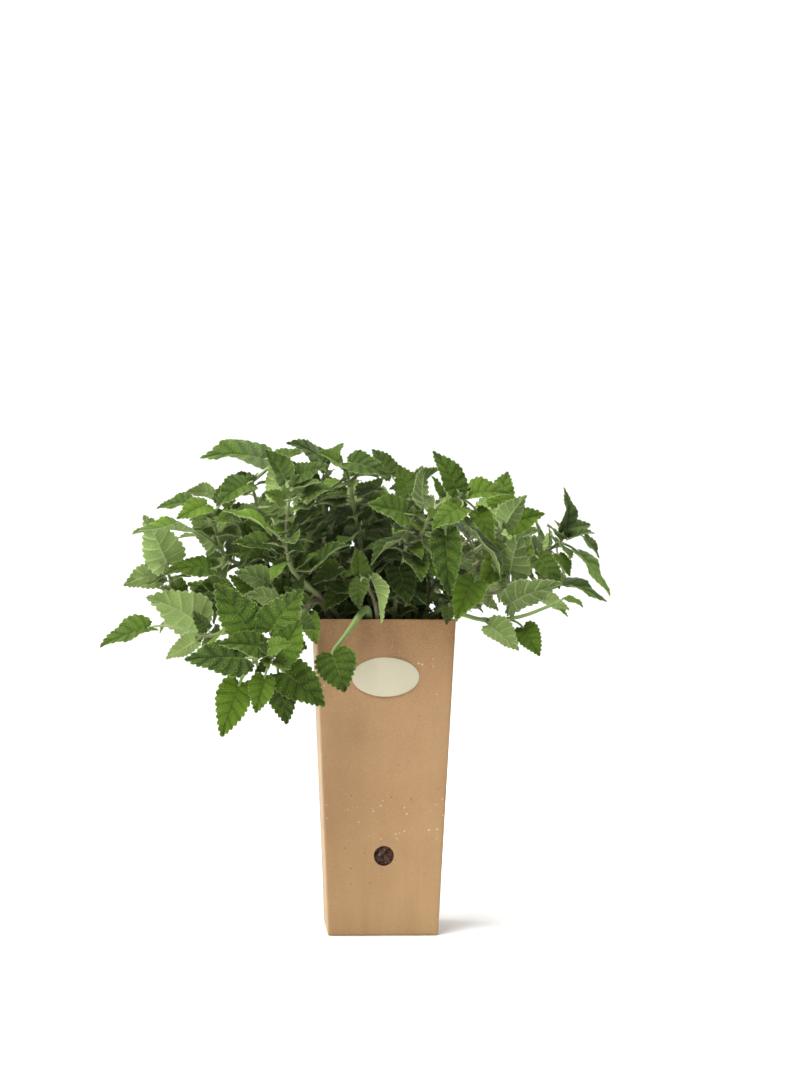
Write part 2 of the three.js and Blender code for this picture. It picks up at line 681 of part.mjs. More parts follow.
// Two opposite leaves. Each pair is turned a quarter from the last one on its stem.
function placePair(place, length, order, shoot, placed, stems) {
  const { point, tangent } = onStem(shoot, place);
  const level = tangent.clone().cross(UP).normalize();
  const axis = level.applyAxisAngle(tangent, (order * PI) / 2 + near(PAIR.twist));
  const outward = vec(point.x, point.y, 0).setLength(PAIR.outward);
  for (const side of [-1, 1]) {
    for (let k = 0; k < PAIR.tries; k++) {
      const loose = PAIR.loose + PAIR.looser * k;
      const size = length * near([1, PAIR.size]) * (1 - PAIR.smaller * k);
      const sideways = axis.clone().multiplyScalar(side).applyAxisAngle(tangent, near([0, loose]));
      const out = sideways.clone().addScaledVector(tangent, near([PAIR.rise, loose])).normalize();
      const base = point.clone().addScaledVector(out, Math.max(STALK.least, STALK.share * size));
      const droop = vec(0, 0, near([-PAIR.droop, loose]));
      const lead = sideways.addScaledVector(tangent, near([PAIR.lean, loose])).add(droop).normalize();
      const up = tangent.clone().multiplyScalar(PAIR.upright).add(UP).add(outward);
      up.addScaledVector(axis, near([0, loose]));
      const tip = base.clone().addScaledVector(lead, size);
      const leaf = makeLeaf(point, base, tip, up, near([1, PAIR.width]));
      if (keepIfClear(leaf, shoot, placed, stems)) break;
    }
  }
}

function placeLeaves(shoots) {
  const placed = [];
  const stems = shoots.map((shoot) => {
    const count = shoot.span * 8;
    const spots = Array.from({ length: count + 1 }, (_, i) => onStem(shoot, i / 8 - 1).point);
    return { shoot, spots: spots.slice(5) };
  });
  for (const shoot of shoots) for (const row of shoot.rows) placeRow(row, shoot, placed, stems);
  for (const shoot of shoots) {
    shoot.pairs.forEach(([place, length], order) => placePair(place, length, order, shoot, placed, stems));
  }
}

// ---- Leaf solids ----
// A point on the outline of a unit blade, moved out by out along its normal.
function margin(a, out, width) {
  const last = OUTLINE.length - 1;
  const [x, y] = along(OUTLINE, a * last);
  const [x1, y1] = along(OUTLINE, Math.min(a + 0.01, 1) * last);
  const [x0, y0] = along(OUTLINE, Math.max(a - 0.01, 0) * last);
  const run = Math.hypot(x1 - x0, y1 - y0);
  return [x - ((y1 - y0) / run) * out, (y + ((x1 - x0) / run) * out) * width];
}

const teethFor = (leaf) => Math.min(TEETH.find(([over]) => leaf.length > over)[1], leaf.shoot.mostTeeth);

// Half of the toothed outline, from the first tooth at the stalk's end to the notch before the tip.
function toothedSide(leaf) {
  const teeth = teethFor(leaf);
  const points = [];
  for (let i = 0; i < teeth; i++) {
    points.push(margin((i + 0.6) / teeth, BLADE.toothOut, leaf.width));
    if (i + 1 < teeth) points.push(margin((i + 1) / teeth, -BLADE.toothIn, leaf.width));
  }
  return points;
}

// One closed skin: the blade, two fans from its middle that meet in the toothed edge, and its stalk.
function leafSkin(leaf) {
  const side = toothedSide(leaf);
  const left = side.map(([x, y]) => onBlade(leaf, x, y));
  const right = side.map(([x, y]) => onBlade(leaf, x, -y)).reverse();
  const tip = onBlade(leaf, 1, 0);
  const points = [...left, tip, ...right];
  const edge = points.length;
  const reach = leaf.base.distanceTo(leaf.stalk[0]);
  const stations = reach > STALK.bends ? [1, 0.5, 0] : [1, 0];
  for (const t of stations) {
    const at = onStalk(leaf, t);
    const ahead = onStalk(leaf, Math.min(t + 0.05, 1)).sub(onStalk(leaf, Math.max(t - 0.05, 0))).normalize();
    const across = leaf.across.clone().addScaledVector(ahead, -leaf.across.dot(ahead)).normalize();
    const down = across.clone().cross(ahead).normalize();
    const r = STALK.radius * (leaf.length < 16 ? 0.75 : 1);
    points.push(at.clone().addScaledVector(across, r).addScaledVector(down, -r * 0.5));
    points.push(at.clone().addScaledVector(across, -r).addScaledVector(down, -r * 0.5));
    points.push(at.clone().addScaledVector(down, r * 1.1));
  }
  const [above, below] = [points.length, points.length + 1];
  const half = BLADE.thick / 2;
  points.push(onBlade(leaf, BLADE.middle, 0, half), onBlade(leaf, BLADE.middle, 0, -half));
  const [l, r, b] = [edge, edge + 1, edge + 2];
  const loop = [l, ...Array(edge).keys(), r];
  const triangles = [[above, l, r], [below, r, b], [below, b, l]];
  for (let i = 0; i + 1 < loop.length; i++) {
    triangles.push([above, loop[i + 1], loop[i]], [below, loop[i], loop[i + 1]]);
  }
  for (let ring = 0; ring < 3 * (stations.length - 1); ring += 3) {
    for (const [p, q] of [[l, r], [r, b], [b, l]]) {
      const [p0, q0, p1, q1] = [p + ring, q + ring, p + ring + 3, q + ring + 3];
      triangles.push([p0, p1, q1], [p0, q1, q0]);
    }
  }
  const foot = 3 * (stations.length - 1);
  triangles.push([l + foot, b + foot, r + foot]);
  return geometryOf(points, triangles);
}

// The fused shoot, with any pocket that the fusing sealed filled in.
function shootSolid(shoot) {
  const pieces = [stemSkin(shoot), ...shoot.leaves.map(leafSkin)].map(solidOf);
  const bodies = wasm.Manifold.union(pieces).decompose();
  return bodies.reduce((a, b) => (b.volume() > a.volume() ? b : a));
}

// ---- The assembly ----
const paint = (color, roughness) => new THREE.MeshStandardMaterial({ color, roughness, metalness: 0 });
const cardboard = paint(0xc29f74, 0.85);
const paper = paint(0xd8d0b2, 0.6);
const earth = paint(0x2b1f18, 1);
const green = paint(0x4c7a34, 0.7);

const shoots = shootList();
placeLeaves(shoots);

function named(name, solid, material) {
  const mesh = new THREE.Mesh(geometryFrom(solid), material);
  mesh.name = name;
  return mesh;
}

const plant = new THREE.Group();
plant.name = "potted_catmint";
plant.add(named("pot", potSolid(), cardboard));
plant.add(named("soil", soilSolid(shoots), earth));
plant.add(labelMesh(paper));
for (const shoot of shoots) plant.add(named(`shoot_${shoot.name}`, shootSolid(shoot), green));

export default plant;
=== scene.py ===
import math

import bpy
import numpy as np
from mathutils import Matrix, Vector

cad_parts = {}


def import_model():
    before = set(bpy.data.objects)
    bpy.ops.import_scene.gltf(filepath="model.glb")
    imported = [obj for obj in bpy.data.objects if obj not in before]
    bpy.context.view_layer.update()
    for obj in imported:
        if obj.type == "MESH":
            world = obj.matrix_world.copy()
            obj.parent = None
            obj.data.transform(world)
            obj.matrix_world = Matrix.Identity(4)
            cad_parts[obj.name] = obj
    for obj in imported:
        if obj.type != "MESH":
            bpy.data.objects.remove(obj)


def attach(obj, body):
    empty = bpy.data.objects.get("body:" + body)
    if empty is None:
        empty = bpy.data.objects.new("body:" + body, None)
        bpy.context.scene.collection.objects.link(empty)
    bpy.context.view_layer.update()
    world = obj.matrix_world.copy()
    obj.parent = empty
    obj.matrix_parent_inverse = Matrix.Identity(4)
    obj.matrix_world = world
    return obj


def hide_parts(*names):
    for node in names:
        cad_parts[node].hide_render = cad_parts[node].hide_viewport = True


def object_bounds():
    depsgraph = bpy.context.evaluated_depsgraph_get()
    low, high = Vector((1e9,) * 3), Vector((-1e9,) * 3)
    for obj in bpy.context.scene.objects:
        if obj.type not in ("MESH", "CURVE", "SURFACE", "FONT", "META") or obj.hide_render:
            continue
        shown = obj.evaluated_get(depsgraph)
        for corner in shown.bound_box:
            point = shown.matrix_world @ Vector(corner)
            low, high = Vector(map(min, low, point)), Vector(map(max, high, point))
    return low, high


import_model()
cad_box = [list(corner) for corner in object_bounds()]

# ---- Sizes in mm and shares without a unit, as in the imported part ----
MM = 0.001
RIM_WIDTH, BASE_WIDTH, POT_HEIGHT = 100, 79, 226
BOARD = 1.5  # the card's thickness
DRAIN_RADIUS, DRAIN_HEIGHT = 7.2, 57
LABEL = dict(across=48, high=28, thick=0.4, drop=41, off=0.2)
GAP = 0.3
SOIL_DROP, SOIL_RELIEF = 11, 1.3
SOIL_TOP = POT_HEIGHT - SOIL_DROP
PLANTED = 12  # how deep a stem goes into the soil
STEM_LOW, STEM_TOP = 1.75, 0.95  # radii
STEM_STEPS = 1.4  # straight pieces of a packed stem for each step of its path
STALK_SHARE, STALK_LEAST, STALK_BOW = 0.42, 5, 0.4
OVAL_HALF, OVAL_AT, OVAL_BACK = 0.42, 0.2, 0.14  # the oval that stands for a blade in tests
GUARD_ROWS, GUARD_SIDES, GUARD_BACK, GUARD_STEP = 7, 3, 0.06, 4
ARCH, FOLD = (0.07, 0.04), (0.2, 0.16)  # middle value and spread
WAVE, WAVES = 0.12, 7
EYE = np.array([-110.0, -1897.0, 287.0])
OUTLINE = np.array([  # half a blade, from its stalk to its tip
    (0, 0), (-0.09, 0.1), (-0.12, 0.22), (-0.03, 0.33), (0.16, 0.385),
    (0.4, 0.345), (0.64, 0.235), (0.86, 0.1), (1, 0),
])

# ---- How leaves find their room ----
CLEAR, YOUNG_CLEAR = 2.8, 1.4
WALL_OUT, WALL_IN, OVER_RIM, OVER_SOIL = 2.5, 3, 2, 4  # room round the pot's wall and over the soil
SPOTS, FIRST_SPOT = 8, 5  # test points for each step of a stem's path
NEIGHBOUR_SHARE, NEIGHBOUR_REACH = 1.1, 60  # leaves farther apart than this aren't tested
TRIES, TRY_STEP, TRY_TURN = 23, 2.5, 3
PAIR = dict(
    tries=14, loose=0.25, looser=0.06, size=0.12, smaller=0.03, width=0.1, twist=(0.4, 0.3),
    rise=0.45, lean=0.3, droop=0.35, outward=0.8, upright=0.5,
)

# ---- Leaves that are only here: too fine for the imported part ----
TIP_PAIRS, TIP_STALK = [(0.2, 14), (0.09, 10), (0.03, 7)], (0.8, 0.2)  # back from the tip, and length
YOUNG_FROM, YOUNG_TO, YOUNG_STEP, YOUNG_DROP = 0.1, 1.1, 0.47, 5
YOUNG_LENGTH, YOUNG_STALK = (17, 4), (3.0, 0.35)
LOW_PLACES, LOW_LENGTH, LOW_LIFT = [-0.5, -0.34, -0.18, -0.02], (16, 5), 3
BUD_LEAVES, BUD_LENGTH, BUD_OPEN, BUD_OUT = 3, (8, 2), (0.75, 0.3), 0.5
BARE = ("over_rim", "right_low")  # these shoots have no young leaves

# Front shoots. root: where the stem stands in the soil. path: (x, z, depth) of the stem above the soil, as
# seen from EYE in the plane of the rim's front edge, with the true Y as depth.
# leaves: place on the path, stalk end x, z, depth, tip x, z, depth, turn of the upper face, width.
# pairs: place on the path and blade length of opposite leaves that are set by rule.
FRONT = {
    "front_left": dict(
        root=(-30, -22), pairs=[], path=[[-47, 12, -38], [-64, 0, -70], [-77, -20, -98], [-83, -28, -116]],
        leaves=[
            [1.6, -97, -10, -85, -122, 25, -80, 20, 0.95], [1.6, -82, -9, -88, -59, 21, -84, 15],
            [2.0, -99, -28, -90, -143, -29, -84, 30, 0.85], [2.1, -72, -38, -100, -43, -62, -96, 20],
            [1.7, -104, -47, -92, -116, -84, -80, 10, 0.8], [1.8, -76, -42, -92, -70, -75, -84, 10, 0.85],
            [2.6, -88, -21, -106, -119, -18, -112, 35, 0.85], [2.5, -74, -26, -100, -61, 0, -92, 10],
            [2.5, -86, -42, -102, -92, -67, -96, 10, 0.9], [2.9, -82, -21, -118, -67, -17, -126, 30],
            [2.9, -78, -29, -118, -67, -36, -124, 20], [2.95, -85, -32, -119, -93, -38, -125, 20],
        ],
    ),
    "over_rim": dict(
        root=(-8, -32), pairs=[], path=[[-13, 5, -44], [-18, 4, -56], [-27, -9, -65], [-37, -22, -69]],
        leaves=[[2.95, -38, -25, -70, -29, -52, -67, 5, 1.35]],
    ),
    "left_low": dict(
        root=(-36, -5), pairs=[[0.6, 22], [1.3, 26], [2.0, 28]],
        path=[[-50, 9, -7], [-84, 1, -18], [-115, -10, -26], [-131, -13, -30]],
        leaves=[
            [3.0, -168, -7, -26, -202, -21, -34, 60], [2.8, -131, -4, -16, -170, 15, -12, 150, 1.15],
            [3.0, -135, -16, -38, -156, -29, -42, 150, 0.85], [1.9, -108, 13, -22, -131, 25, -28, 30, 0.8],
            [2.2, -112, 12, -4, -141, 25, 4, 45],
        ],
    ),
    "left_mid": dict(
        root=(-36, 4), pairs=[[0.8, 24], [1.5, 28], [2.5, 26], [4.6, 14]],
        path=[[-48, 14, 4], [-89, 18, 4], [-133, 10, 0], [-148, 14, -4], [-153, 28, -8], [-156, 36, -10]],
        leaves=[
            [4.9, -155, 39, -12, -172, 73, -6, 165, 1], [4.8, -160, 32, -15, -186, 23, -20, 150],
            [2.0, -112, 22, 8, -140, 14, 16, 150, 0.9],
        ],
    ),
    "left_up": dict(
        root=(-34, 12), pairs=[[0.7, 26], [1.4, 30]],
        path=[[-46, 18, 12], [-72, 31, 8], [-101, 38, -4], [-114, 44, -10], [-120, 60, -13], [-124, 72, -15]],
        leaves=[
            [3.0, -143, 62, -22, -180, 59, -34, 80], [3.1, -120, 55, -3, -140, 76, 5, 165],
            [2.9, -124, 35, -26, -158, 31, -36, 50, 0.8], [2.2, -96, 52, -8, -110, 71, -2, 60, 0.9],
            [4.6, -140, 82, -8, -163, 77, -4, 60], [4.7, -128, 80, -22, -149, 70, -31, 40],
            [5.0, -122, 87, 2, -143, 89, 8, 130], [5.0, -117, 82, -16, -105, 99, -12, 20],
        ],
    ),
    "top_left": dict(
        root=(-23, 5), pairs=[[0.6, 24], [1.3, 26]],
        path=[[-36, 18, 6], [-65, 42, 0], [-87, 67, -6], [-94, 88, -8], [-96, 97, -9]],
        leaves=[
            [4.0, -86, 113, 15, -133, 113, 9, 62, 1.1], [3.9, -99, 95, -20, -121, 79, -30, 40],
            [3.9, -79, 110, -6, -57, 121, 0, 60], [2.5, -77, 87, -18, -83, 110, -13, 160],
        ],
    ),
    "centre_left": dict(
        root=(-17, -16), pairs=[[3.6, 22]],
        path=[
            [-38, 7, -34], [-53, 21, -46], [-66, 34, -52], [-70, 46, -54], [-71, 63, -54], [-70, 80, -52],
            [-67, 94, -50],
        ],
        leaves=[
            [2.0, -85, 64, -56, -116, 76, -60, 75], [2.1, -51, 36, -58, -26, 53, -66, 70],
            [5.8, -72, 99, -48, -87, 120, -42, 140], [5.8, -63, 101, -52, -44, 108, -58, 40],
            [5.2, -58, 88, -58, -38, 92, -66, 50], [5.3, -74, 84, -60, -87, 90, -66, 30],
            [0.8, -66, 12, -46, -84, 30, -50, 30, 0.9],
        ],
    ),
    "left_inner": dict(
        root=(-26, -8), pairs=[[2.9, 12]],
        path=[[-44, 13, -16], [-62, 25, -24], [-74, 34, -30], [-78, 42, -32]],
        leaves=[
            [2.9, -82, 49, -32, -110, 53, -40, 60], [2.4, -82, 25, -34, -108, 33, -40, 150],
            [1.6, -76, 13, -30, -101, 17, -34, 120], [1.9, -89, 19, -42, -112, 31, -48, 30, 0.8],
            [1.2, -65, 24, -34, -88, 38, -40, 40, 0.8], [0.9, -80, 10, -24, -102, 24, -26, 40, 0.9],
        ],
    ),
    "top_mid_left": dict(
        root=(-10, 10), pairs=[[0.5, 22], [1.2, 26], [2.1, 24]],
        path=[[-24, 21, 12], [-38, 56, 4], [-46, 84, 0], [-45, 104, -4]],
        leaves=[
            [3.0, -44, 110, -8, -72, 125, -16, 55], [3.0, -40, 112, -2, -31, 125, 8, 50],
            [2.6, -50, 97, -12, -66, 108, -20, 60],
        ],
    ),
    "top_mid": dict(
        root=(-3, -3), pairs=[[0.4, 22], [1.0, 26], [1.7, 26], [2.4, 22]],
        path=[[-11, 21, -6], [-19, 56, -14], [-25, 88, -22], [-29, 106, -26]],
        leaves=[[3.0, -27, 111, -30, 1, 101, -40, 45], [3.0, -34, 110, -30, -50, 118, -38, 50]],
    ),
    "top_centre": dict(
        root=(6, 8), pairs=[[0.5, 24], [1.2, 26], [2.0, 24]],
        path=[[2, 21, 8], [6, 56, 6], [11, 84, 2], [12, 94, 0]],
        leaves=[
            [3.0, 3, 102, 4, -11, 121, 12, 30], [3.0, 16, 89, -8, 8, 110, 0, 165, 1.2],
            [3.0, 20, 96, 6, 39, 107, 14, 120],
        ],
    ),
    "centre_front": dict(
        root=(4, -26), pairs=[[0.6, 20], [1.2, 24]],
        path=[[7, 15, -36], [12, 42, -50], [16, 63, -58], [20, 75, -62]],
        leaves=[
            [2.9, 13, 75, -66, -14, 82, -74, 40, 1.1], [2.0, 9, 56, -62, -11, 38, -68, 75],
            [0.8, 9, 36, -44, 16, 10, -46, 15], [3.0, 26, 81, -60, 28, 109, -50, 110],
        ],
    ),
    "top_right": dict(
        root=(15, -16), pairs=[[0.5, 20], [1.2, 22]],
        path=[[18, 20, -34], [23, 56, -58], [35, 79, -70], [46, 85, -74], [54, 88, -76]],
        leaves=[
            [4.0, 50, 92, -78, 32, 120, -72, 25, 0.75], [4.0, 59, 89, -80, 88, 89, -86, 50],
            [3.5, 53, 80, -84, 32, 64, -92, 40], [3.1, 42, 61, -92, 45, 16, -88, -15, 0.65],
            [3.6, 64, 77, -84, 76, 54, -90, 10, 0.75], [2.7, 60, 62, -76, 82, 28, -86, 75, 0.8],
            [1.0, 36, 42, -52, 52, 20, -54, 20, 0.9],
        ],
    ),
    "right_up": dict(
        root=(22, 0), pairs=[[0.5, 24], [1.2, 28], [2.0, 24]],
        path=[[31, 20, -6], [58, 45, -20], [77, 59, -34], [84, 66, -40]],
        leaves=[
            [3.0, 85, 69, -40, 100, 89, -36, 160], [3.0, 88, 68, -46, 113, 76, -54, 60],
            [2.5, 80, 82, -22, 86, 106, -14, 20], [0.5, 40, 28, -16, 54, 8, -22, 30],
        ],
    ),
    "right_far": dict(
        root=(34, 4), pairs=[[1.4, 28], [2.2, 28]],
        path=[[44, 18, 3], [80, 34, -4], [107, 46, -12], [122, 54, -16], [127, 60, -17]],
        leaves=[
            [4.0, 127, 65, -18, 126, 95, -14, 60], [3.9, 131, 58, -21, 149, 62, -27, 70],
            [4.0, 133, 66, -10, 146, 68, -2, 50], [3.2, 138, 47, -24, 160, 17, -34, 70],
            [3.6, 142, 58, -6, 152, 44, 0, 60], [3.0, 123, 46, -27, 131, 31, -32, 40],
        ],
    ),
    "right_mid": dict(
        root=(34, -8), pairs=[[1.0, 24]], path=[[45, 12, -12], [80, 20, -22], [109, 28, -27], [121, 30, -28]],
        leaves=[
            [3.0, 124, 28, -32, 158, 13, -42, 60], [1.4, 88, 34, -46, 96, 62, -40, 170, 1.25],
            [1.1, 82, 42, -30, 67, 22, -38, 20], [2.4, 108, 44, -26, 124, 22, -30, 30, 0.9],
            [2.2, 114, 15, -36, 131, 7, -40, 130], [1.6, 88, 12, -42, 126, 26, -46, 150, 0.9],
        ],
    ),
    "right_low": dict(
        root=(24, -22), pairs=[],
        path=[[37, 7, -40], [53, 4, -50], [70, 0, -55], [94, 2, -57], [114, 9, -57], [125, 14, -57]],
        leaves=[
            [2.0, 74, -4, -60, 95, -22, -64, 150], [2.2, 98, -6, -58, 110, -26, -62, 20],
            [5.0, 129, 16, -59, 141, 9, -66, 60], [4.9, 121, 8, -62, 130, 2, -68, 70],
            [0.6, 63, 27, -66, 50, 0, -66, 30], [0.4, 45, 9, -58, 43, -4, -60, 10],
        ],
    ),
    "low_left": dict(
        root=(-12, -10), pairs=[[1.4, 24], [2, 18]], path=[[-20, 14, -24], [-31, 30, -34], [-37, 44, -40]],
        leaves=[
            [0.7, -30, 22, -38, -44, 6, -42, 30], [0.5, -22, 16, -34, -10, 34, -36, 40],
            [1.2, -34, 36, -44, -52, 24, -48, 45],
        ],
    ),
    "low_mid": dict(
        root=(10, -12), pairs=[[1.3, 26], [2, 18]], path=[[12, 16, -22], [18, 34, -32], [22, 50, -38]],
        leaves=[[0.6, 14, 24, -26, -2, 36, -30, 40], [0.3, 20, 10, -24, 28, 30, -30, 20]],
    ),
    "front_centre": dict(
        root=(-2, -38), pairs=[], path=[[-8, 11, -45], [-12, 21, -50], [-13, 27, -53]],
        leaves=[
            [2.0, -10, 28, -58, -4, -3, -60, 110], [2.0, -18, 27, -52, -19, 7, -52, 20],
            [1.9, -19, 32, -52, -22, 51, -48, 30], [1.9, -7, 32, -54, 5, 43, -60, 60],
        ],
    ),
}

# Back shoots: root x, root y, bearing anticlockwise from +X in degrees, reach, height, drop of the tip.
BACK = [
    [35, 10, 14, 112, 48, 8], [29, 20, 36, 116, 62, 14], [19, 29, 58, 116, 70, 16], [5, 34, 80, 112, 74, 18],
    [-9, 33, 102, 118, 72, 22], [-20, 31, 122, 122, 68, 18], [-28, 26, 142, 126, 64, 14],
    [-33, 19, 162, 128, 56, 10], [8, 19, 66, 62, 76, 4], [-5, 21, 108, 64, 84, 4], [-18, 17, 142, 74, 88, 4],
]
BACK_PAIRS = [[0.25, 26], [0.65, 27], [1.15, 28], [1.7, 30], [2.25, 34], [2.8, 26]]
BACK_RISE = [(0.14, 0.3), (0.45, 0.78), (0.78, 1)]  # shares of the reach and the height

# Low back shoots, which lean out over the rim below the others.
LOW_BACK = [
    [40, 32, 42, 96, 26, 12], [16, 42, 70, 88, 30, 10], [-4, 41, 96, 88, 30, 12],
    [-21, 42, 116, 92, 32, 12], [-42, 30, 146, 100, 26, 12],
]
LOW_PAIRS = [[0.35, 24], [1.0, 28], [1.7, 30], [2.4, 28], [3.0, 20]]


# ---- Layout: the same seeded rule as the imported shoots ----
class Draws:
    def __init__(self, seed):
        self.seed = seed

    def __call__(self):
        self.seed = (self.seed * 1664525 + 1013904223) % 4294967296
        return self.seed / 4294967296 * 2 - 1

    def near(self, middle, spread):
        return middle + spread * self()


draws = Draws(20288)
UP = np.array([0.0, 0.0, 1.0])
SURFACE = ("arch", "fold", "phase")  # a leaf's values that shape its surface


def mix(a, b, share):
    return a + (b - a) * share


def size_of(v):
    return math.sqrt(float(v @ v))


def unit(v):
    return v * (1 / size_of(v))


def along(points, places):
    """The smooth curve through the points, read at places from 0 to the number of points less one."""
    points, places = np.asarray(points, float), np.asarray(places, float)
    last = len(points) - 1
    i = np.minimum(np.floor(places).astype(int), last - 1)
    t = (places - i)[..., None]
    a, b, c, d = (points[np.clip(i + k, 0, last)] for k in (-1, 0, 1, 2))
    bend = 2 * a - 5 * b + 4 * c - d
    turn = 3 * (b - c) + d - a
    return b + 0.5 * t * (c - a + t * (bend + t * turn))


def seen(x, z, depth):
    """The point at this depth on the line of sight from EYE through (x, z) of the rim's front plane."""
    front = np.array([x, -RIM_WIDTH / 2, POT_HEIGHT + z], float)
    return mix(EYE, front, (depth - EYE[1]) / (front[1] - EYE[1]))


def turned(v, axis, angle):
    s, c = math.sin(angle), math.cos(angle)
    return v * c + np.cross(axis, v) * s + axis * ((axis @ v) * (1 - c))


def back_shoot(name, row, pairs):
    x, y, bearing, reach, height, drop = row
    angle = math.radians(bearing)
    end = (reach * math.cos(angle), reach * math.sin(angle))
    stations = [(out, height * up) for out, up in BACK_RISE] + [(1, height - drop)]
    path = [np.array([mix(x, end[0], k), mix(y, end[1], k), POT_HEIGHT + z]) for k, z in stations]
    return dict(name=name, root=(x, y), path=path, rows=[], pairs=pairs)


def shoot_list():
    shoots = [
        dict(s, name=name, path=[seen(*p) for p in s["path"]], rows=s["leaves"]) for name, s in FRONT.items()
    ]
    shoots += [back_shoot(f"back_{i + 1}", row, BACK_PAIRS) for i, row in enumerate(BACK)]
    shoots += [back_shoot(f"low_back_{i + 1}", row, LOW_PAIRS) for i, row in enumerate(LOW_BACK)]
    for number, s in enumerate(shoots):
        s["points"] = np.array([[*s["root"], SOIL_TOP - PLANTED], *s["path"]], float)
        s["span"] = len(s["points"]) - 1
        steps = math.floor(s["span"] * STEM_STEPS + 0.5)
        s["line"] = along(s["points"], s["span"] * np.arange(steps + 1) / steps)
        s["number"] = number
        s["leaves"] = []
    return shoots


def on_stem(shoot, place):
    line = shoot["line"]
    spot = min((place + 1) / shoot["span"], 1) * (len(line) - 1)
    i = min(math.floor(spot), len(line) - 2)
    return mix(line[i], line[i + 1], spot - i), unit(line[i + 1] - line[i])


def surface(x, y, arch, fold, phase):
    """Height of a blade's surface over its chord, in blade lengths."""
    return arch * 4 * x * (1 - x) + np.abs(y) * (fold + WAVE * np.sin(WAVES * x + phase))


def on_blade(leaf, x, y, lift=0.0):
    """Points of a leaf's blade, from x along and y across it in blade lengths, lifted by some mm."""
    high = surface(x, y, *(leaf[k] for k in SURFACE)) * leaf["length"] + lift
    return leaf["base"] + np.stack([x * leaf["length"], y * leaf["length"], high], -1) @ leaf["axes"]


def make_leaf(shoot, place, base, tip, up, width):
    point, _ = on_stem(shoot, place)
    forward = unit(tip - base)
    normal = unit(up - forward * float(up @ forward))
    axes = np.array([forward, np.cross(normal, forward), normal])
    leaf = dict(base=base, axes=axes, length=size_of(tip - base), width=width, place=place)
    leaf["shoot"] = shoot["number"]
    leaf["arch"] = draws.near(*ARCH)
    leaf["fold"] = draws.near(*FOLD)
    leaf["phase"] = math.pi * draws()
    bow = size_of(base - point) * STALK_BOW
    leaf["stalk"] = np.array([point, base - forward * bow, base])
    return leaf


def on_stalk(stalk, t):
    t = np.asarray(t, float)[..., None]
    return stalk[0] * (1 - t) ** 2 + stalk[1] * 2 * t * (1 - t) + stalk[2] * t * t


def facing(base, tip, turn):
    """The upper face's direction for a front leaf: turn 0 looks forward, 90 up and 180 back."""
    forward = unit(tip - base)
    ahead = np.array([0.0, -1.0, 0.0])
    front = unit(ahead - forward * float(ahead @ forward))
    above = np.cross(forward, front)
    if above[2] < 0:
        above = -above
    angle = turn * math.pi / 180
    return front * math.cos(angle) + above * math.sin(angle)


def half_blade(x):
    ahead = ((x - OVAL_AT) / (1 - OVAL_AT)) ** 2
    behind = ((OVAL_AT - x) / (OVAL_AT + OVAL_BACK)) ** 4
    return OVAL_HALF * np.maximum(1 - np.where(x > OVAL_AT, ahead, behind), 0)


def guard_points(leaf):
    """Points spread over a blade and along its stalk, which test its room."""
    x = mix(-GUARD_BACK, 1, np.arange(GUARD_ROWS + 1) / GUARD_ROWS)
    across = np.arange(-GUARD_SIDES, GUARD_SIDES + 1) / GUARD_SIDES
    y = (leaf["width"] * half_blade(x))[:, None] * across
    blade = on_blade(leaf, np.broadcast_to(x[:, None], y.shape), y).reshape(-1, 3)
    steps = max(2, math.ceil(size_of(leaf["base"] - leaf["stalk"][0]) / GUARD_STEP))
    return blade, on_stalk(leaf["stalk"], np.arange(1, steps) / steps)


def near_blade(d, length, width, arch, fold, phase, gap):
    """Whether points, given along, across and over unit blades, lie within gap (mm) of them."""
    x, y, z = d[..., 0], d[..., 1], d[..., 2]
    g = gap / length
    over = z - surface(x, y, arch, fold, phase)
    inside = (x >= -OVAL_BACK - g) & (x <= 1 + g) & (np.abs(over) < g)
    return inside & (np.abs(y) <= width * half_blade(x) + g)


def half_width(z):
    """Half the pot's outer width at height z."""
    return mix(BASE_WIDTH, RIM_WIDTH, z / POT_HEIGHT) / 2


def in_pot(p):
    """Whether points are in the pot's wall or in its soil."""
    x, y, z = p.T
    reach = np.maximum(np.abs(x), np.abs(y)) - half_width(z)
    near_it = (z <= POT_HEIGHT + OVER_RIM) & (z >= 0) & (reach - WALL_OUT <= 0)
    return near_it & ((reach + BOARD + WALL_IN > 0) | (z < SOIL_TOP + OVER_SOIL))


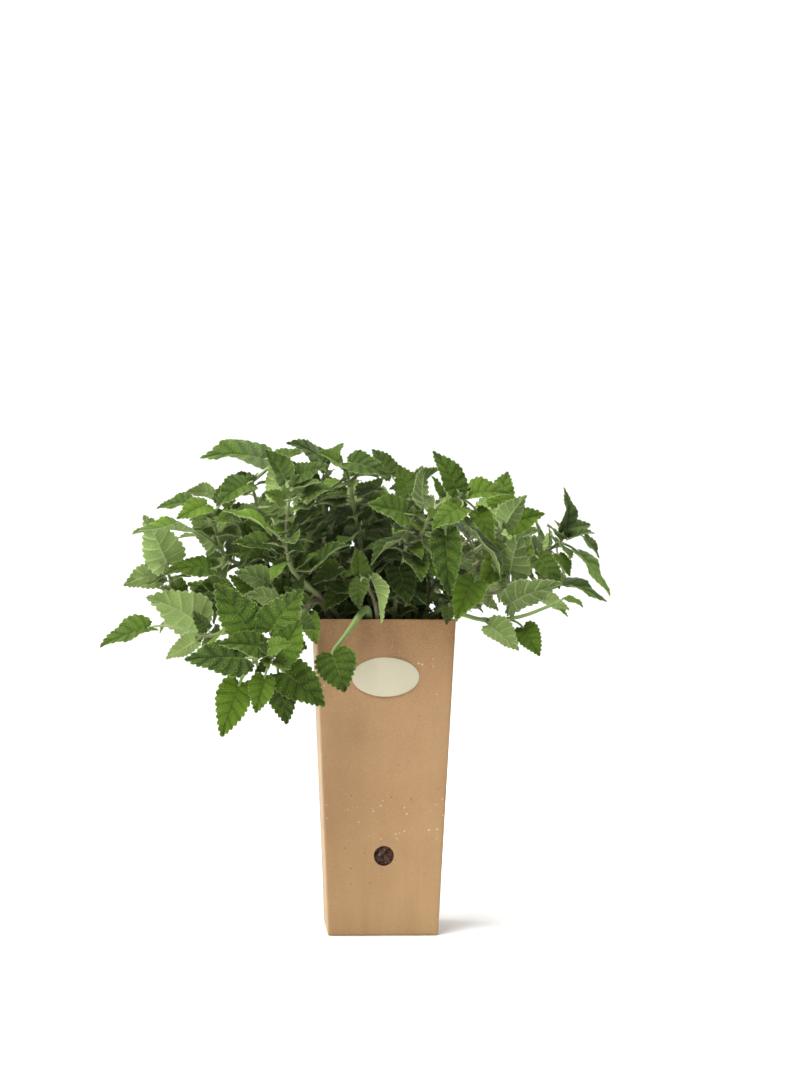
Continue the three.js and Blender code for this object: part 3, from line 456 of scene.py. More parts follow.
class Room:
    """The leaves and stems placed so far, and whether a new leaf is clear of them."""

    MOST, STALK = 900, 40  # room for leaves, and for test points of a stalk
    FORM = ("length", "width", *SURFACE)

    def __init__(self, shoots):
        self.count, self.gap = 0, CLEAR
        self.base = np.zeros((self.MOST, 3))
        self.axes = np.zeros((self.MOST, 3, 3))
        self.form = np.zeros((self.MOST, 6))
        self.blade = np.zeros((self.MOST, (GUARD_ROWS + 1) * (2 * GUARD_SIDES + 1), 3))
        self.stalk = np.full((self.MOST, self.STALK, 3), np.nan)
        spots, owners = [], []
        for s in shoots:
            for i in range(FIRST_SPOT, s["span"] * SPOTS + 1):
                spots.append(on_stem(s, i / SPOTS - 1)[0])
                owners.append(s["number"])
        self.spots, self.owners = np.array(spots), np.array(owners)

    def clear(self, leaf, blade, stalk):
        if in_pot(blade).any() or in_pot(stalk[1:]).any():
            return False

        def near_this(points, gap):
            d = ((points.reshape(-1, 3) - leaf["base"]) / leaf["length"]) @ leaf["axes"].T
            return near_blade(d, *(leaf[k] for k in self.FORM), gap).any()

        gaps = np.where(self.owners == leaf["shoot"], self.gap, self.gap + 1)
        if near_this(self.spots, gaps):
            return False
        others = self.spots[self.owners != leaf["shoot"]]
        if (np.linalg.norm(stalk[:, None] - others, axis=2) < self.gap + 1).any():
            return False
        n = self.count
        apart = np.linalg.norm(self.base[:n] - leaf["base"], axis=1)
        reach = NEIGHBOUR_SHARE * (leaf["length"] + self.form[:n, 0]) + self.gap + NEIGHBOUR_REACH
        k = np.nonzero(apart <= reach)[0]
        if not len(k):
            return True
        points = np.concatenate([blade, stalk])
        length, width, arch, fold, phase, owner = (self.form[k, c][:, None] for c in range(6))
        d = (points[None] - self.base[k][:, None]) / length[..., None]
        d = np.einsum("npk,njk->npj", d, self.axes[k])
        if near_blade(d, length, width, arch, fold, phase, self.gap).any():
            return False
        if near_this(self.blade[k], self.gap) or near_this(self.stalk[k], self.gap):
            return False
        foreign = self.stalk[k][owner[:, 0] != leaf["shoot"]].reshape(-1, 3)
        return not (np.linalg.norm(stalk[:, None] - foreign, axis=2) < self.gap).any()

    def keep(self, leaf, shoot):
        blade, stalk = guard_points(leaf)
        if not self.clear(leaf, blade, stalk):
            return False
        n = self.count
        self.base[n], self.axes[n], self.blade[n] = leaf["base"], leaf["axes"], blade
        self.form[n] = [leaf[k] for k in (*self.FORM, "shoot")]
        self.stalk[n, : len(stalk)] = stalk
        self.count += 1
        shoot["leaves"].append(leaf)
        return True


def place_row(row, shoot, room):
    """One listed leaf, moved to and fro in depth until it has room."""
    place, bx, bz, by, tx, tz, ty, turn, *width = row
    for k in range(TRIES):
        shift = math.ceil(k / 2) * TRY_STEP * (-1 if k % 2 else 1)
        base, tip = seen(bx, bz, by + shift), seen(tx, tz, ty + shift)
        up = facing(base, tip, turn + TRY_TURN * k * draws())
        if room.keep(make_leaf(shoot, place, base, tip, up, *(width or [1])), shoot):
            return


def place_pair(place, length, order, shoot, room, least=STALK_LEAST, share=STALK_SHARE, floor=-math.inf):
    """Two opposite leaves set by rule, each one shrunk and loosened until it has room."""
    point, tangent = on_stem(shoot, place)
    level = unit(np.cross(tangent, UP))
    axis = turned(level, tangent, order * math.pi / 2 + draws.near(*PAIR["twist"]))
    outward = unit(np.array([point[0], point[1], 0.0])) * PAIR["outward"]
    for side in (-1, 1):
        for k in range(PAIR["tries"]):
            loose = PAIR["loose"] + PAIR["looser"] * k
            size = length * draws.near(1, PAIR["size"]) * (1 - PAIR["smaller"] * k)
            sideways = turned(axis * side, tangent, draws.near(0, loose))
            out = unit(sideways + tangent * draws.near(PAIR["rise"], loose))
            base = point + out * max(least, share * size)
            droop = UP * draws.near(-PAIR["droop"], loose)
            lead = unit(sideways + tangent * draws.near(PAIR["lean"], loose) + droop)
            up = tangent * PAIR["upright"] + UP + outward + axis * draws.near(0, loose)
            width = draws.near(1, PAIR["width"])
            if base[2] + lead[2] * size < floor:
                continue
            if room.keep(make_leaf(shoot, place, base, base + lead * size, up, width), shoot):
                break


def place_leaves(shoots):
    room = Room(shoots)
    for shoot in shoots:
        for row in shoot["rows"]:
            place_row(row, shoot, room)
    for shoot in shoots:
        for order, (place, length) in enumerate(shoot["pairs"]):
            place_pair(place, length, order, shoot, room)
    return room


def young_floor(shoot):
    """Young leaves hang no lower than this."""
    return shoot["points"][2:, 2].min() - YOUNG_DROP


def place_young(shoots, room):
    """The small leaves at each shoot's tip, between its main pairs, and low down over the pot's rim."""
    room.gap = YOUNG_CLEAR
    leafy = [shoot for shoot in shoots if shoot["name"] not in BARE]
    for shoot in leafy:
        tip = shoot["span"] - 1
        for order, (back, length) in enumerate(TIP_PAIRS):
            place_pair(tip - back, length, order, shoot, room, *TIP_STALK, young_floor(shoot))
    for shoot in leafy:
        for order, place in enumerate(np.arange(YOUNG_FROM, shoot["span"] - YOUNG_TO, YOUNG_STEP)):
            size = draws.near(*YOUNG_LENGTH)
            place_pair(place, size, order, shoot, room, *YOUNG_STALK, young_floor(shoot))
    for shoot in leafy:
        for order, place in enumerate(LOW_PLACES):
            size = draws.near(*LOW_LENGTH)
            place_pair(place, size, order, shoot, room, *YOUNG_STALK, POT_HEIGHT + LOW_LIFT)


def place_buds(shoots):
    """The folded leaflets that end each leafy shoot."""
    for shoot in shoots:
        if shoot["name"] in BARE:
            continue
        tip, tangent = on_stem(shoot, shoot["span"] - 1)
        level = unit(np.cross(tangent, UP))
        for k in range(BUD_LEAVES):
            side = turned(level, tangent, 2 * math.pi * k / BUD_LEAVES + draws.near(0, 0.4))
            lead = unit(tangent + side * draws.near(*BUD_OPEN))
            base = tip + side * BUD_OUT
            end = base + lead * draws.near(*BUD_LENGTH)
            shoot["leaves"].append(make_leaf(shoot, shoot["span"] - 1, base, end, tangent - side, 1))


shoots = shoot_list()
place_young(shoots, place_leaves(shoots))
place_buds(shoots)

# ---- Fine meshes ----
grain = np.random.default_rng(7)


class Skin:
    """Points, faces and their values, gathered for one mesh object."""

    def __init__(self):
        self.points, self.faces, self.slots, self.count = [], [], [], 0
        self.uv, self.tone, self.young = [], [], []

    def add(self, points, faces, slots, uv=None, tone=0.0, young=0.0):
        n = len(points)
        self.points.append(np.asarray(points, float))
        faces = np.asarray(faces, int)
        self.faces.append(faces + self.count)
        self.slots.append(np.broadcast_to(slots, len(faces)))
        self.uv.append(np.zeros((n, 2)) if uv is None else np.broadcast_to(uv, (n, 2)))
        self.tone.append(np.full(n, tone))
        self.young.append(np.full(n, young))
        self.count += n

    def add_tube(self, rings, slot, uv=None, tone=0.0):
        """A tube with closed ends through rings of points."""
        quads, ends = tube_faces(*rings.shape[:2])
        ends = ends + self.count
        self.add(rings.reshape(-1, 3), quads, slot, uv, tone)
        self.faces.append(ends)
        self.slots.append(np.full(len(ends), slot))

    def build(self, name, materials, sharp=None):
        """One mesh object, in metres. Quads come as rows of four and triangles as rows of three."""
        points = np.clip(np.concatenate(self.points) * MM, *cad_box)
        loops = np.concatenate([f.ravel() for f in self.faces])
        sizes = np.concatenate([np.full(len(f), f.shape[1]) for f in self.faces])
        mesh = bpy.data.meshes.new(name)
        mesh.vertices.add(len(points))
        mesh.vertices.foreach_set("co", points.ravel())
        mesh.loops.add(len(loops))
        mesh.loops.foreach_set("vertex_index", loops)
        mesh.polygons.add(len(sizes))
        mesh.polygons.foreach_set("loop_start", np.concatenate([[0], np.cumsum(sizes)[:-1]]))
        mesh.polygons.foreach_set("material_index", np.concatenate(self.slots))
        mesh.polygons.foreach_set("use_smooth", np.ones(len(sizes), bool))
        mesh.uv_layers.new(name="blade").uv.foreach_set("vector", np.concatenate(self.uv)[loops].ravel())
        for attribute, values in (("tone", self.tone), ("young", self.young)):
            made = mesh.attributes.new(attribute, "FLOAT", "POINT")
            made.data.foreach_set("value", np.concatenate(values))
        mesh.update()
        mesh.validate()
        if sharp:
            mesh.set_sharp_from_angle(angle=math.radians(sharp))
        for material in materials:
            mesh.materials.append(material)
        piece = bpy.data.objects.new(name, mesh)
        bpy.context.scene.collection.objects.link(piece)
        return piece


def tube_faces(rings, sides):
    """Quads between rings of equal count, and the two ends as fans of triangles."""
    r, k = np.meshgrid(np.arange(rings - 1), np.arange(sides), indexing="ij")
    a, b = (r * sides + k).ravel(), (r * sides + (k + 1) % sides).ravel()
    quads = np.stack([a, b, b + sides, a + sides], 1)
    k = np.arange(1, sides - 1)
    top = (rings - 1) * sides
    ends = np.concatenate([np.stack([0 * k, k + 1, k], 1), np.stack([0 * k + top, k + top, k + 1 + top], 1)])
    return quads, ends


def grid_faces(n, m):
    """Quads of a grid of n by m points."""
    i, j = (k.ravel() for k in np.meshgrid(np.arange(n - 1), np.arange(m - 1), indexing="ij"))
    a = i * m + j
    return np.stack([a, a + m, a + m + 1, a + 1], 1)


def units(vectors):
    return vectors / np.linalg.norm(vectors, axis=1)[:, None]


def swept(line, side, profile):
    """Rings of a profile along a line, square to it, with as little twist as can be."""
    tangents, sides = units(np.gradient(line, axis=0)), []
    for t in tangents:
        side = unit(side - t * float(side @ t))
        sides.append(side)
    sides = np.array(sides)
    others = np.cross(tangents, sides)
    return line[:, None] + profile[..., :1] * sides[:, None] + profile[..., 1:] * others[:, None]


# ---- Stems and stalks ----
STEM_PROFILE = np.array([
    (1, -0.58), (1, 0.58), (0.58, 1), (-0.58, 1), (-1, 0.58), (-1, -0.58), (-0.58, -1), (0.58, -1),
])
STEM_STEP = 3  # mm between rings
JOINT_SWELL, JOINT_LONG = 0.28, 0.05
TAPER_FROM, TAPER = 0.86, 0.55  # a leafy stem's tip thins over the last part of it
THICK = dict(over_rim=(2.0, 1.25))  # the one stout stem, from root to tip
STALK = dict(main=(8, 6), young=(5, 5), young_under=17)  # rings and sides, by blade length
STALK_RADIUS = dict(least=0.52, blade=0.011, reach=0.007)  # mm, and shares of its blade's and its own length
STALK_CAP = dict(least=0.35, blade=0.03)
STALK_FOOT, STALK_NECK, STALK_FLAT = 0.25, 0.12, 0.85  # swells at the stem, thins at the blade
STALK_INTO = 0.02  # how far it runs into the blade, in blade lengths
BARE_TONE = -2  # marks the stems and stalks of bare shoots
LEAF, UNDER, STEM, HAIR = 0, 1, 2, 3  # material slots
PAINTED_LIGHT_TONES = {  # painted shade and light: leaves that are darker or lighter in the photo than drawn get these tones, by shoot and number
    ("front_left", 0): -0.3, ("front_left", 1): -0.4, ("front_left", 4): 1.3,
    ("top_left", 0): -0.5, ("top_right", 3): -0.8, ("centre_front", 0): -0.4, ("top_mid", 0): -0.6,
    ("right_mid", 1): -1.0, ("right_mid", 5): -0.9, ("right_up", 0): -0.8,
}
DARK_BACKED = (("centre_left", 2), ("top_centre", 1))  # leaves with the upper side's green on their backs


def stem_curve(shoot, places):
    """Points of the smooth stem at places of its path."""
    return along(shoot["points"], np.minimum(np.asarray(places, float) + 1, shoot["span"]))


def thickness(shoot):
    return THICK.get(shoot["name"], (1, 1))


def add_stem(skin, shoot):
    rough = along(shoot["points"], np.linspace(0, shoot["span"], 200))
    total = np.linalg.norm(np.diff(rough, axis=0), axis=1).sum()
    rings, corners, bare = int(total / STEM_STEP), len(STEM_PROFILE), shoot["name"] in BARE
    places, share = np.linspace(-1, shoot["span"] - 1, rings), np.linspace(0, 1, rings)
    line = stem_curve(shoot, places)
    nodes = np.array([leaf["place"] for leaf in shoot["leaves"]])
    swell = JOINT_SWELL * np.exp(-((places[:, None] - nodes) / JOINT_LONG) ** 2).max(1)
    taper = 1 - TAPER * np.clip((share - TAPER_FROM) / (1 - TAPER_FROM), 0, 1) * (not bare)
    radius = mix(STEM_LOW, STEM_TOP, share) * (0.97 + swell) * mix(*thickness(shoot), share) * taper
    points = swept(line, np.array([1.0, 0.0, 0.0]), STEM_PROFILE[None] * radius[:, None, None])
    uv = np.stack([np.repeat(share, corners), np.tile(np.arange(corners) / corners, rings)], 1)
    skin.add_tube(points, STEM, uv, BARE_TONE if bare else grain.uniform(-1, 1))
    add_hairs_round(skin, line, radius * 1.02, total * STEM_HAIRS)


def add_stalk(skin, shoot, leaf, tone):
    rings, corners = STALK["main" if leaf["length"] > STALK["young_under"] else "young"]
    t = np.linspace(0, 1, rings)
    path = leaf["stalk"].copy()
    path[0] = stem_curve(shoot, leaf["place"])
    line = on_stalk(path, t)
    line[-1] += leaf["axes"][0] * STALK_INTO * leaf["length"]
    length, reach = leaf["length"], np.linalg.norm(path[2] - path[0])
    size = min(
        STALK_RADIUS["least"] + STALK_RADIUS["blade"] * length + STALK_RADIUS["reach"] * reach,
        STALK_CAP["least"] + STALK_CAP["blade"] * length,
    )
    radius = size * (1 + STALK_FOOT * (1 - t) ** 3 - STALK_NECK * t) * thickness(shoot)[1]
    angle = np.arange(corners) * 2 * math.pi / corners
    ring = np.stack([np.cos(angle), np.sin(angle) * STALK_FLAT], 1)
    points = swept(line, leaf["axes"][1], ring[None] * radius[:, None, None])
    skin.add_tube(points, STEM, (2.0, 0.0), tone)
    add_hairs_round(skin, line, radius, reach * STEM_HAIRS)


# ---- Hairs: thin closed spikes ----
HAIR_WIDE, HAIR_LONG, HAIR_RANGE = 0.032, 0.75, (0.5, 1.2)
HAIR_ROOT = 0.05  # how deep a hair starts below the surface
HAIR_LEAN, EDGE_STRAY, FACE_STRAY = 0.2, 0.2, 0.35
STEM_HAIRS = 1.0  # per mm of stem or stalk
EDGE_HAIRS, FACE_SHARE = 1.3, 6  # per mm of blade length, and this many for each one on a face


def add_hairs(skin, roots, ways):
    """A closed spike with a three-sided foot from each root along its way."""
    n = len(roots)
    if not n:
        return
    ways = units(ways)
    side = units(np.cross(ways, grain.normal(size=(n, 3))))
    other = np.cross(ways, side)
    long = HAIR_LONG * grain.uniform(*HAIR_RANGE, (n, 1))
    foot = roots - ways * HAIR_ROOT
    turns = [(math.cos(k * math.tau / 3), math.sin(k * math.tau / 3)) for k in range(3)]
    feet = [foot + (side * c + other * s) * HAIR_WIDE for c, s in turns]
    points = np.stack([*feet, roots + ways * long], 1).reshape(-1, 3)
    faces = np.array([(0, 2, 1), (0, 1, 3), (1, 2, 3), (2, 0, 3)])
    skin.add(points, (np.arange(n)[:, None, None] * 4 + faces).reshape(-1, 3), HAIR)


def add_hairs_round(skin, line, radius, count):
    """Hairs all round a stem or stalk."""
    count = int(count)
    place = grain.uniform(0, len(line) - 1.001, count)
    i = place.astype(int)
    share = (place - i)[:, None]
    centre = mix(line[i], line[i + 1], share)
    way = units(np.cross(line[i + 1] - line[i], grain.normal(size=(count, 3))))
    add_hairs(skin, centre + way * radius[i][:, None], way)


# ---- Blades ----
TOOTH = {3: (-1.0, 0.7, 0.9), 4: (-1.0, 0.3, 1.0, 0.7)}  # how far the margin stands out along a tooth
TOOTH_OUT = 0.27  # of a tooth's share of the blade
EDGE_OUT = 0.006
VEINS = 6.5  # side veins on each side
ACROSS = {
    6: (0, 0.08, 0.24, 0.46, 0.68, 0.88, 1), 5: (0, 0.08, 0.3, 0.6, 0.86, 1),
    4: (0, 0.1, 0.4, 0.78, 1), 3: (0, 0.14, 0.62, 1), 2: (0, 0.5, 1),
}
# Blade length from which it holds, teeth, rows for a tooth, columns from midrib to margin.
DETAIL = [(30, 13, 4, 6), (22, 12, 3, 5), (17, 10, 3, 4), (13, 7, 3, 3), (10, 6, 3, 2), (0, 4, 3, 2)]
TOOTH_FADE = 3  # rows over which the teeth grow at both ends
SPINE_LOW, SPINE_FROM, SPINE_POWER = 0.05, 0.36, 1.65  # where the side veins leave the midrib
VEIN_BOW, BOW_FROM = 0.03, 0.3
GROOVE, GROOVE_WIDE, RIB, RIB_WIDE = 0.014, 0.16, 0.02, 0.1
FULL_WIDE = 0.24  # the quilting is lower where half the blade is narrower than this
RUFFLES = ((0.011, 2.4, 1), (0.008, 4.1, -2))  # height, waves and share of the leaf's phase
THICK_MARGIN, THICK_MIDDLE, THICK_FROM = 0.13, 0.17, 20  # half thickness, full from this blade length
YOUNG_UNDER, YOUNG_OVER, AGE_SHARE = 30, 18, 0.8  # a blade's paleness comes from its length and place


def outline_places(count):
    """Places along the outline's list that lie evenly spaced on the outline."""
    places = np.linspace(0.02, 0.997, 300)
    line = along(OUTLINE, places * (len(OUTLINE) - 1))
    run = np.concatenate([[0], np.cumsum(np.linalg.norm(np.diff(line, axis=0), axis=1))])
    return np.interp(np.linspace(0, run[-1], count), run, places)


def margin(a, out):
    """Points of the half outline at shares a of its list, moved outwards."""
    last = len(OUTLINE) - 1
    edge = along(OUTLINE, a * last)
    run = along(OUTLINE, np.minimum(a + 0.01, 1) * last) - along(OUTLINE, np.maximum(a - 0.01, 0) * last)
    run = units(run)
    return edge + np.stack([-run[:, 1], run[:, 0]], 1) * out[:, None]


def half_grid(teeth, steps, columns, shift):
    """Points (x, y) of half a unit blade: rows follow the side veins, columns go from midrib to margin."""
    rows = steps * teeth
    i = np.arange(rows + 1)
    a = outline_places(rows + 1)
    fade = np.clip(i / TOOTH_FADE, 0, 1) * np.clip((rows - i) / TOOTH_FADE, 0, 1)
    out = (np.array(TOOTH[steps])[i % steps] * TOOTH_OUT / teeth + EDGE_OUT) * fade
    late = np.clip((a - SPINE_FROM) / (1 - SPINE_FROM), 0, 1) ** SPINE_POWER
    spine = mix(late, a, SPINE_LOW)
    rib = np.stack([spine, 0 * spine], 1)[:, None]
    v = np.array(ACROSS[columns])[:, None]
    plain, toothed = margin(a, 0 * a)[:, None], margin(a, out)[:, None]
    points = mix(rib, plain, v) + (toothed - plain) * v ** 5
    points[..., 0] -= VEIN_BOW * (4 * v * (1 - v))[:, 0] * np.clip((a - BOW_FROM) / BOW_FROM, 0, 1)[:, None]
    row = VEINS * i / rows + shift
    wide = np.clip(np.linalg.norm(plain[:, 0] - rib[:, 0], axis=1) / FULL_WIDE, 0, 1)
    return points, row, v[:, 0], wide


def quilt(row, v, wide, phase, deep):
    """How far the blade's surface rises between its veins, in blade lengths."""
    row, v, deep = row[:, None], v[None], deep * wide[:, None]
    off = np.abs(row - np.round(row))
    crest = 1 - 1.9 * np.exp(-((off / GROOVE_WIDE) ** 2))
    spread = np.sqrt(v) * (1 - 0.6 * v ** 3)
    high = GROOVE * deep * spread * crest - RIB * deep * np.exp(-((v / RIB_WIDE) ** 2))
    return high + v ** 2 * sum(most * np.sin(row * waves + turn * phase) for most, waves, turn in RUFFLES)


def add_blade(skin, leaf, tone, young, dark_backed):
    """A closed blade: two grids joined at the midrib above, the same below, and walls round them."""
    detail = next(d[1:] for d in DETAIL if leaf["length"] > d[0])
    deep, sides = grain.uniform(0.8, 1.2), []
    for sign, shift in ((-1, 0.15), (1, -0.3)):
        points, row, v, wide = half_grid(*detail, shift)
        y = points[..., 1] * leaf["width"] * grain.uniform(0.97, 1.03)
        lift = quilt(row, v, wide, leaf["phase"] + sign, deep)
        uv = np.stack(np.broadcast_arrays(row[:, None], sign * v[None]), -1)
        sides.append((points[..., 0], sign * y, lift, uv))
    x, y, lift, uv = (np.concatenate([left[:, :0:-1], right], 1) for left, right in zip(*sides))
    lift, side = lift * leaf["length"], np.concatenate([v[:0:-1], v])
    half = (THICK_MARGIN + THICK_MIDDLE * (1 - side ** 2)) * min(1, leaf["length"] / THICK_FROM)
    upper, lower = on_blade(leaf, x, y, lift + half), on_blade(leaf, x, y, lift - half)
    n, m = x.shape
    top = grid_faces(n, m)
    below = n * m
    i, j = np.arange(n - 1) * m, np.arange(m - 1)
    right, left, end = i + m - 1, i, (n - 1) * m + j
    walls = np.concatenate([
        np.stack([right, right + m, right + m + below, right + below], 1),
        np.stack([left + m, left, left + below, left + m + below], 1),
        np.stack([end + 1, end, end + below, end + 1 + below], 1),
        np.stack([j, j + 1, j + 1 + below, j + below], 1),
    ])
    faces = np.concatenate([top, top[:, ::-1] + below, walls])
    back = LEAF if dark_backed else UNDER
    slots = np.concatenate([np.full(len(top), LEAF), np.full(len(top), back), np.full(len(walls), UNDER)])
    points = np.concatenate([upper.reshape(-1, 3), lower.reshape(-1, 3)])
    skin.add(points, faces, slots, np.tile(uv.reshape(-1, 2), (2, 1)), tone, young)
    add_blade_hairs(skin, leaf, upper, lower)


def add_blade_hairs(skin, leaf, upper, lower):
    """Hairs along the margin, and fewer over both faces."""
    count = int(EDGE_HAIRS * leaf["length"])
    n, m = upper.shape[:2]
    edge = np.concatenate([upper[2:, -1], upper[:1:-1, 0]])
    place = grain.uniform(0, len(edge) - 1.001, count)
    k = place.astype(int)
    root = mix(edge[k], edge[k + 1], (place - k)[:, None])
    way = np.cross(edge[k + 1] - edge[k], leaf["axes"][2]) + grain.normal(0, EDGE_STRAY, (count, 3))
    add_hairs(skin, root, way + HAIR_LEAN * leaf["axes"][0] * np.linalg.norm(way, axis=1)[:, None])
    for face, way in ((upper, leaf["axes"][2]), (lower, -leaf["axes"][2])):
        few = count // FACE_SHARE
        i, j = grain.integers(1, n - 1, few), grain.integers(1, m - 1, few)
        add_hairs(skin, face[i, j], way + grain.normal(0, FACE_STRAY, (few, 3)))


def foliage(shoot, materials):
    skin = Skin()
    add_stem(skin, shoot)
    for number, leaf in enumerate(shoot["leaves"]):
        tone = PAINTED_LIGHT_TONES.get((shoot["name"], number), grain.uniform(-1, 1))
        small = float(np.clip((YOUNG_UNDER - leaf["length"]) / YOUNG_OVER, 0, 1))
        young = small * AGE_SHARE + (1 - AGE_SHARE) * leaf["place"] / shoot["span"]
        add_stalk(skin, shoot, leaf, BARE_TONE if shoot["name"] in BARE else tone)
        add_blade(skin, leaf, tone, young, (shoot["name"], number) in DARK_BACKED)
    piece = skin.build("foliage_" + shoot["name"], materials, sharp=62)
    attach(piece, "root")
    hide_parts("shoot_" + shoot["name"])


# ---- Soil, pot and label ----
SOIL_GRID, SOIL_LEVELS = 54, 10
SOIL_ROOM = GAP + BOARD + 0.15  # between the pot's outer face and the soil's side
SOIL_SINK = 0.6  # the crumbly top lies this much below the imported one, to leave room for its bumps
SOIL_LUMPS = ((0.5, 9, 1), (0.45, 4, 5))  # height, size and seed
SOIL_ROUGH = 0.22
CRUMBS, HOLE_CRUMBS = 900, 120
CORNER = 1.9  # how far each folded corner is rounded
DENTS, DENT_SIZE = 0.22, 60  # how far the board waves inwards
DRILL_SIDES = 64
LABEL_RINGS, LABEL_SIDES = 14, 96


def lumps(x, y, size, seed):
    """Smooth bumps about size mm across, from -1 to 1."""
    high = 0 * x
    for k in range(6):
        angle = 2.4 * k + seed
        wave = 2 * math.pi / (size * (0.7 + 0.25 * k))
        high = high + np.sin(wave * (x * math.cos(angle) + y * math.sin(angle)) + seed * (k + 1))
    return high / 3


def add_crumbs(skin, spots, sizes):
    """Rough little stones and fibres of soil."""
    corners = np.array([(1, 0, 0), (0, 1, 0), (-1, 0, 0), (0, -1, 0), (0, 0, 1), (0, 0, -1)], float)
    faces = np.array([(0, 1, 4), (1, 2, 4), (2, 3, 4), (3, 0, 4), (1, 0, 5), (2, 1, 5), (3, 2, 5), (0, 3, 5)])
    n = len(spots)
    shape = corners + grain.normal(0, 0.22, (n, 6, 3))
    shape = shape * sizes[:, None, None] * grain.uniform(0.6, 1.2, (n, 1, 3))
    points = (shape + spots[:, None]).reshape(-1, 3)
    skin.add(points, (np.arange(n)[:, None, None] * 6 + faces).reshape(-1, 3), 0)
    skin.tone[-1] = np.repeat(grain.uniform(-1, 1, n), 6)


def soil_rise(x, y):
    return SOIL_RELIEF * np.sin(x * 0.21 + 1) * np.cos(y * 0.17 + x * 0.05)


def soil(materials):
    """A block of soil with a crumbly top, and crumbs behind the drain hole."""
    skin, rings = Skin(), []
    low = BOARD + GAP
    top_half = half_width(SOIL_TOP) - SOIL_ROOM
    u = np.linspace(-1, 1, SOIL_GRID) * top_half
    x, y = np.meshgrid(u, u, indexing="ij")
    rise = soil_rise(x, y)
    for high, size, seed in SOIL_LUMPS:
        rise = rise + high * lumps(x, y, size, seed)
    rise = rise + grain.normal(0, SOIL_ROUGH, x.shape)
    top = np.stack([x, y, SOIL_TOP - SOIL_SINK + rise], -1)
    skin.add(top.reshape(-1, 3), grid_faces(SOIL_GRID, SOIL_GRID), 0)
    border = np.concatenate([top[:-1, 0], top[-1, :-1], top[:0:-1, -1], top[0, :0:-1]])
    for z in np.linspace(1, 0, SOIL_LEVELS):
        share = (half_width(mix(low, SOIL_TOP, z)) - SOIL_ROOM) / top_half
        ring = border * [share, share, 1]
        ring[:, 2] = mix(low, border[:, 2], z)
        inwards = np.abs(grain.normal(0, 0.3, (len(ring), 1)))
        ring[:, :2] *= 1 - inwards / 40 * (0 < z < 1)
        rings.append(ring)
    skin.add(np.concatenate(rings), tube_faces(len(rings), len(border))[0][:, ::-1], 0)
    add_fan(skin, rings[-1], low, down=True)
    x, y = (grain.uniform(-1, 1, (CRUMBS, 2)) * (top_half - 1.5)).T
    sizes = 0.5 + 1.1 * grain.random(CRUMBS) ** 3
    add_crumbs(skin, np.column_stack([x, y, SOIL_TOP - 0.3 + soil_rise(x, y)]), sizes)
    angle = grain.uniform(0, 2 * math.pi, HOLE_CRUMBS)
    reach = DRAIN_RADIUS * np.sqrt(grain.random(HOLE_CRUMBS))
    x, z = np.cos(angle) * reach * 0.95, DRAIN_HEIGHT + np.sin(angle) * reach * 0.95
    y = -half_width(z) + SOIL_ROOM - 0.2 + grain.uniform(-0.5, 0.5, HOLE_CRUMBS)
    add_crumbs(skin, np.column_stack([x, y, z]), grain.uniform(0.35, 1.0, HOLE_CRUMBS))
    piece = skin.build("potting_soil", materials, sharp=40)
    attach(piece, "root")
    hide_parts("soil")


def add_fan(skin, ring, z, down):
    """Closes a ring with triangles to a point at height z on the axis."""
    n = len(ring)
    faces = [(k, n, (k + 1) % n) if down else (k, (k + 1) % n, n) for k in range(n)]
    skin.add(np.concatenate([ring, [[0, 0, z]]]), faces, 0)


def pot_ring(z, inset):
    """A rounded square outline at height z, going round anticlockwise, with slight waves in the board."""
    h = half_width(z) - inset
    r = CORNER - inset * 0.6
    flat = np.linspace(-(h - r), h - r, 29)[1:-1]
    points = []
    for quarter in range(4):
        angle = quarter * math.pi / 2
        turn = np.array([(math.cos(angle), math.sin(angle)), (-math.sin(angle), math.cos(angle))])
        dents = DENTS * np.abs(lumps(flat + quarter * 71, 0 * flat + z, DENT_SIZE, 3 + quarter))
        side = np.stack([h - dents, flat], 1)
        angles = np.linspace(0, math.pi / 2, 7)
        corner = np.stack([h - r + r * np.cos(angles), h - r + r * np.sin(angles)], 1)
        points.append(np.concatenate([side, corner]) @ turn)
    ring = np.concatenate(points)
    return np.column_stack([ring, np.full(len(ring), z)])


def pot(materials):
    """The folded pot: outer skin, rounded lip, inner skin and base, with one drain hole cut through."""
    # Heights, and how far each ring lies inside the outer face.
    rim = [(POT_HEIGHT - 0.45, 0), (POT_HEIGHT - 0.1, 0.16), (POT_HEIGHT, 0.5), (POT_HEIGHT, BOARD - 0.5)]
    rim += [(POT_HEIGHT - 0.1, BOARD - 0.16), (POT_HEIGHT - 0.45, BOARD)]
    outer = [(0, 0.7), (0.12, 0.3), (0.5, 0.04)] + [(z, 0) for z in np.linspace(2, POT_HEIGHT - 2, 46)]
    inner = [(z, BOARD) for z in np.linspace(POT_HEIGHT - 3, BOARD, 8)]
    rings = [pot_ring(z, inset) for z, inset in outer + rim + inner]
    skin = Skin()
    skin.add(np.concatenate(rings), tube_faces(len(rings), len(rings[0]))[0], 0)
    add_fan(skin, rings[0], 0, down=True)
    add_fan(skin, rings[-1], BOARD, down=False)
    piece = skin.build("card_pot", materials)
    weld(piece)
    drill = drain_drill()
    cut = piece.modifiers.new("hole", "BOOLEAN")
    cut.object, cut.operation, cut.solver = drill, "DIFFERENCE", "EXACT"
    apply_modifiers(piece)
    bpy.data.objects.remove(drill)
    piece.data.set_sharp_from_angle(angle=math.radians(35))
    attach(piece, "root")
    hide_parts("pot")


def weld(piece):
    merge = piece.modifiers.new("weld", "WELD")
    merge.merge_threshold = 0.00001
    apply_modifiers(piece)


